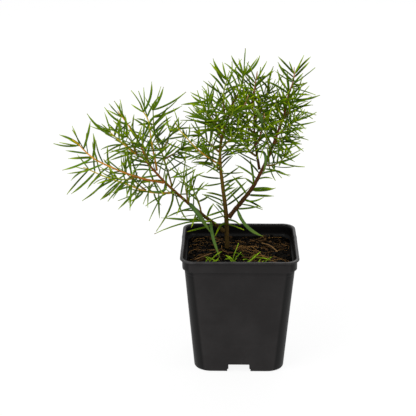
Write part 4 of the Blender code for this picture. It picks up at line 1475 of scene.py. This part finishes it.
@dataclass
class Litter:
    """Straws and fallen green needles on the mix."""

    mix: PottingMix
    leaf: NeedleLeaf
    grass: tuple[tuple[float, float, int], ...] = ((-2.0, -24.0, 9), (-24.0, -25.0, 7), (17.0, -31.0, 6),
                                                   (7.0, -14.0, 4))
    grass_length: tuple[float, float] = (11, 23)
    grass_rise: tuple[float, float] = (15, 62)
    seed: int = 43

    def build_straws(self) -> None:
        """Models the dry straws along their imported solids."""
        names = [name for name in sorted(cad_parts) if name.startswith("straw_")]
        paths = []
        radii = []
        for name in names:
            stem = PackedStem(name)
            path = through(stem.path, 1.0 * MM)
            paths.append(path)
            radii.append([(0.42 + 0.12 * noise.noise(place / MM * 0.4)) * MM for place in path])
        straws = tubes("dry_straws", paths, radii, 1)
        Bench.smooth(straws, 50)
        Bench.wear(straws, LitterFinish("dry_straw", tone(60, 42, 22), tone(140, 108, 66), 0.7, 0.1).material())
        Bench.settle(straws, "dry_straw", *names)

    def grass_blade(self, chance: random.Random, x: float, y: float) -> Blade:
        """A thin blade of grass that rises from the mix and leans over.

        Args:
            chance: Source of its lean and length.
            x: Where it starts, across, in millimetres.
            y: Where it starts, in depth.

        Returns:
            The blade's line.
        """
        turn = chance.uniform(0, 2 * math.pi)
        length = chance.uniform(*self.grass_length)
        rise = math.radians(chance.uniform(*self.grass_rise))
        foot = Vector((x, y, 0)) * MM
        foot.z = self.mix.surface(foot.x, foot.y) - 0.4 * MM
        out = Vector((math.cos(turn), math.sin(turn), 0))
        points = []
        for i in range(9):
            share = i / 8
            along, high = length * share, length * (share * math.sin(rise) - 0.3 * share**2)
            place = foot + (along * math.cos(rise) * out + Vector((0, 0, high))) * MM
            half = (self.mix.half_width() - 1.5) * MM
            place.x, place.y = (min(half, max(-half, value)) for value in place.xy)
            place.z = max(place.z, self.mix.surface(place.x, place.y) + 0.3 * MM) if i else place.z
            points.append(list(place))
        return Blade(np.array(points), Vector((0, 0, 1)), chance.uniform(0.55, 0.9) * MM, chance.uniform(0.3, 0.8))

    def build_needles(self) -> None:
        """Models the green needles that have dropped, and blades of grass that come up at the front."""
        names = [name for name in sorted(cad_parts) if name.startswith("fallen_needle_")]
        chance = random.Random(self.seed)
        blades = []
        for name in names:
            path = through(PackedStem(name).path, 1.5 * MM)
            blades.append(Blade(np.array([list(p) for p in path]), Vector((0, 0.3, 1)), 0.9 * MM, 0.45))
        for x, y, count in self.grass:
            blades += [self.grass_blade(chance, x + chance.uniform(-4, 4), y + chance.uniform(-4, 4))
                       for _ in range(count)]
        needles = Bench.join([self.leaf.copy(blade) for blade in blades], "green_litter")
        Bench.wear(needles, LeafFinish("grass_blade", tone(40, 66, 8), tone(78, 112, 16), tone(134, 164, 26),
                                       under=tone(84, 116, 30)).material())
        Bench.settle(needles, "foliage", *names)

    def build(self) -> None:
        """Models all the litter."""
        self.build_straws()
        self.build_needles()


# ---------------------------------------------------------------- studio


@dataclass
class Studio:
    """A white table in soft light, and the camera."""

    eye: tuple[float, float, float] = (-0.0115, -1.0288, 0.4804)
    target: tuple[float, float, float] = (-0.0273, 0.0095, 0.1328)
    focal_length: float = 109.6
    floor_size: float = 14.0
    floor_glow: float = 0.9
    surround: float = 0.85

    def build_camera(self) -> None:
        """Puts the camera in front of the pot, a little above its rim."""
        lens = bpy.data.cameras.new("camera")
        lens.lens = self.focal_length
        lens.sensor_width = 36.0
        lens.clip_start = 0.05
        lens.clip_end = 60.0
        camera = bpy.data.objects.new("camera", lens)
        camera.location = self.eye
        camera.rotation_euler = (Vector(self.target) - Vector(self.eye)).to_track_quat("-Z", "Y").to_euler()
        bpy.context.scene.collection.objects.link(camera)
        bpy.context.scene.camera = camera

    def build_floor(self) -> None:
        """Lays a pale floor that glows a little, so that the pot's shadow on it is faint."""
        Bench.clear()
        bpy.ops.mesh.primitive_plane_add(size=self.floor_size)
        floor = bpy.context.view_layer.objects.active
        floor.name = "floor"
        graph = Graph("pale_floor")
        graph.shader.inputs["Emission Color"].default_value = (1.0, 1.0, 1.0, 1.0)
        graph.shader.inputs["Emission Strength"].default_value = self.floor_glow
        Bench.wear(floor, graph.dress((0.07, 0.07, 0.07), 0.9, specular=0.1))

    def build_lights(self) -> None:
        """Hangs three large soft lights and sets the white surround."""
        world = bpy.data.worlds.new("surround")
        bpy.context.scene.world = world
        world.use_nodes = True
        backdrop = world.node_tree.nodes["Background"]
        backdrop.inputs["Color"].default_value = (1.0, 1.0, 1.0, 1.0)
        backdrop.inputs["Strength"].default_value = self.surround
        lamps = {
            "key_light": ((-0.9, -0.9, 1.5), 1.0, 22.0),
            "fill_light": ((1.3, -0.5, 1.0), 1.0, 9.0),
            "back_light": ((0.2, 1.4, 1.4), 1.2, 12.0),
        }
        for name, (place, size, power) in lamps.items():
            light = bpy.data.lights.new(name, "AREA")
            light.shape = "SQUARE"
            light.size = size
            light.energy = power
            lamp = bpy.data.objects.new(name, light)
            lamp.location = place
            lamp.rotation_euler = (Vector((0, 0, 0.12)) - Vector(place)).to_track_quat("-Z", "Y").to_euler()
            bpy.context.scene.collection.objects.link(lamp)

    def build(self) -> None:
        """Sets up the camera, floor and lights."""
        self.build_camera()
        self.build_floor()
        self.build_lights()
        bpy.context.scene.view_settings.view_transform = "Standard"


def main() -> None:
    """Builds the whole scene."""
    logging.basicConfig(level=logging.INFO, format="%(name)s: %(message)s")
    Studio().build()
    pot = NurseryPot()
    pot.build()
    trunk = PackedStem("trunk_and_leader")
    foot = min(trunk.path, key=lambda place: abs(place.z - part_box("potting_mix")[1].z))
    mix = PottingMix(pot, Ground("potting_mix", foot))
    mix.build()
    leaf = NeedleLeaf()
    shrub = Shrub(leaf)
    shrub.build()
    Litter(mix, leaf).build()
    leaf.put_away()


if __name__ == "__main__":
    main()
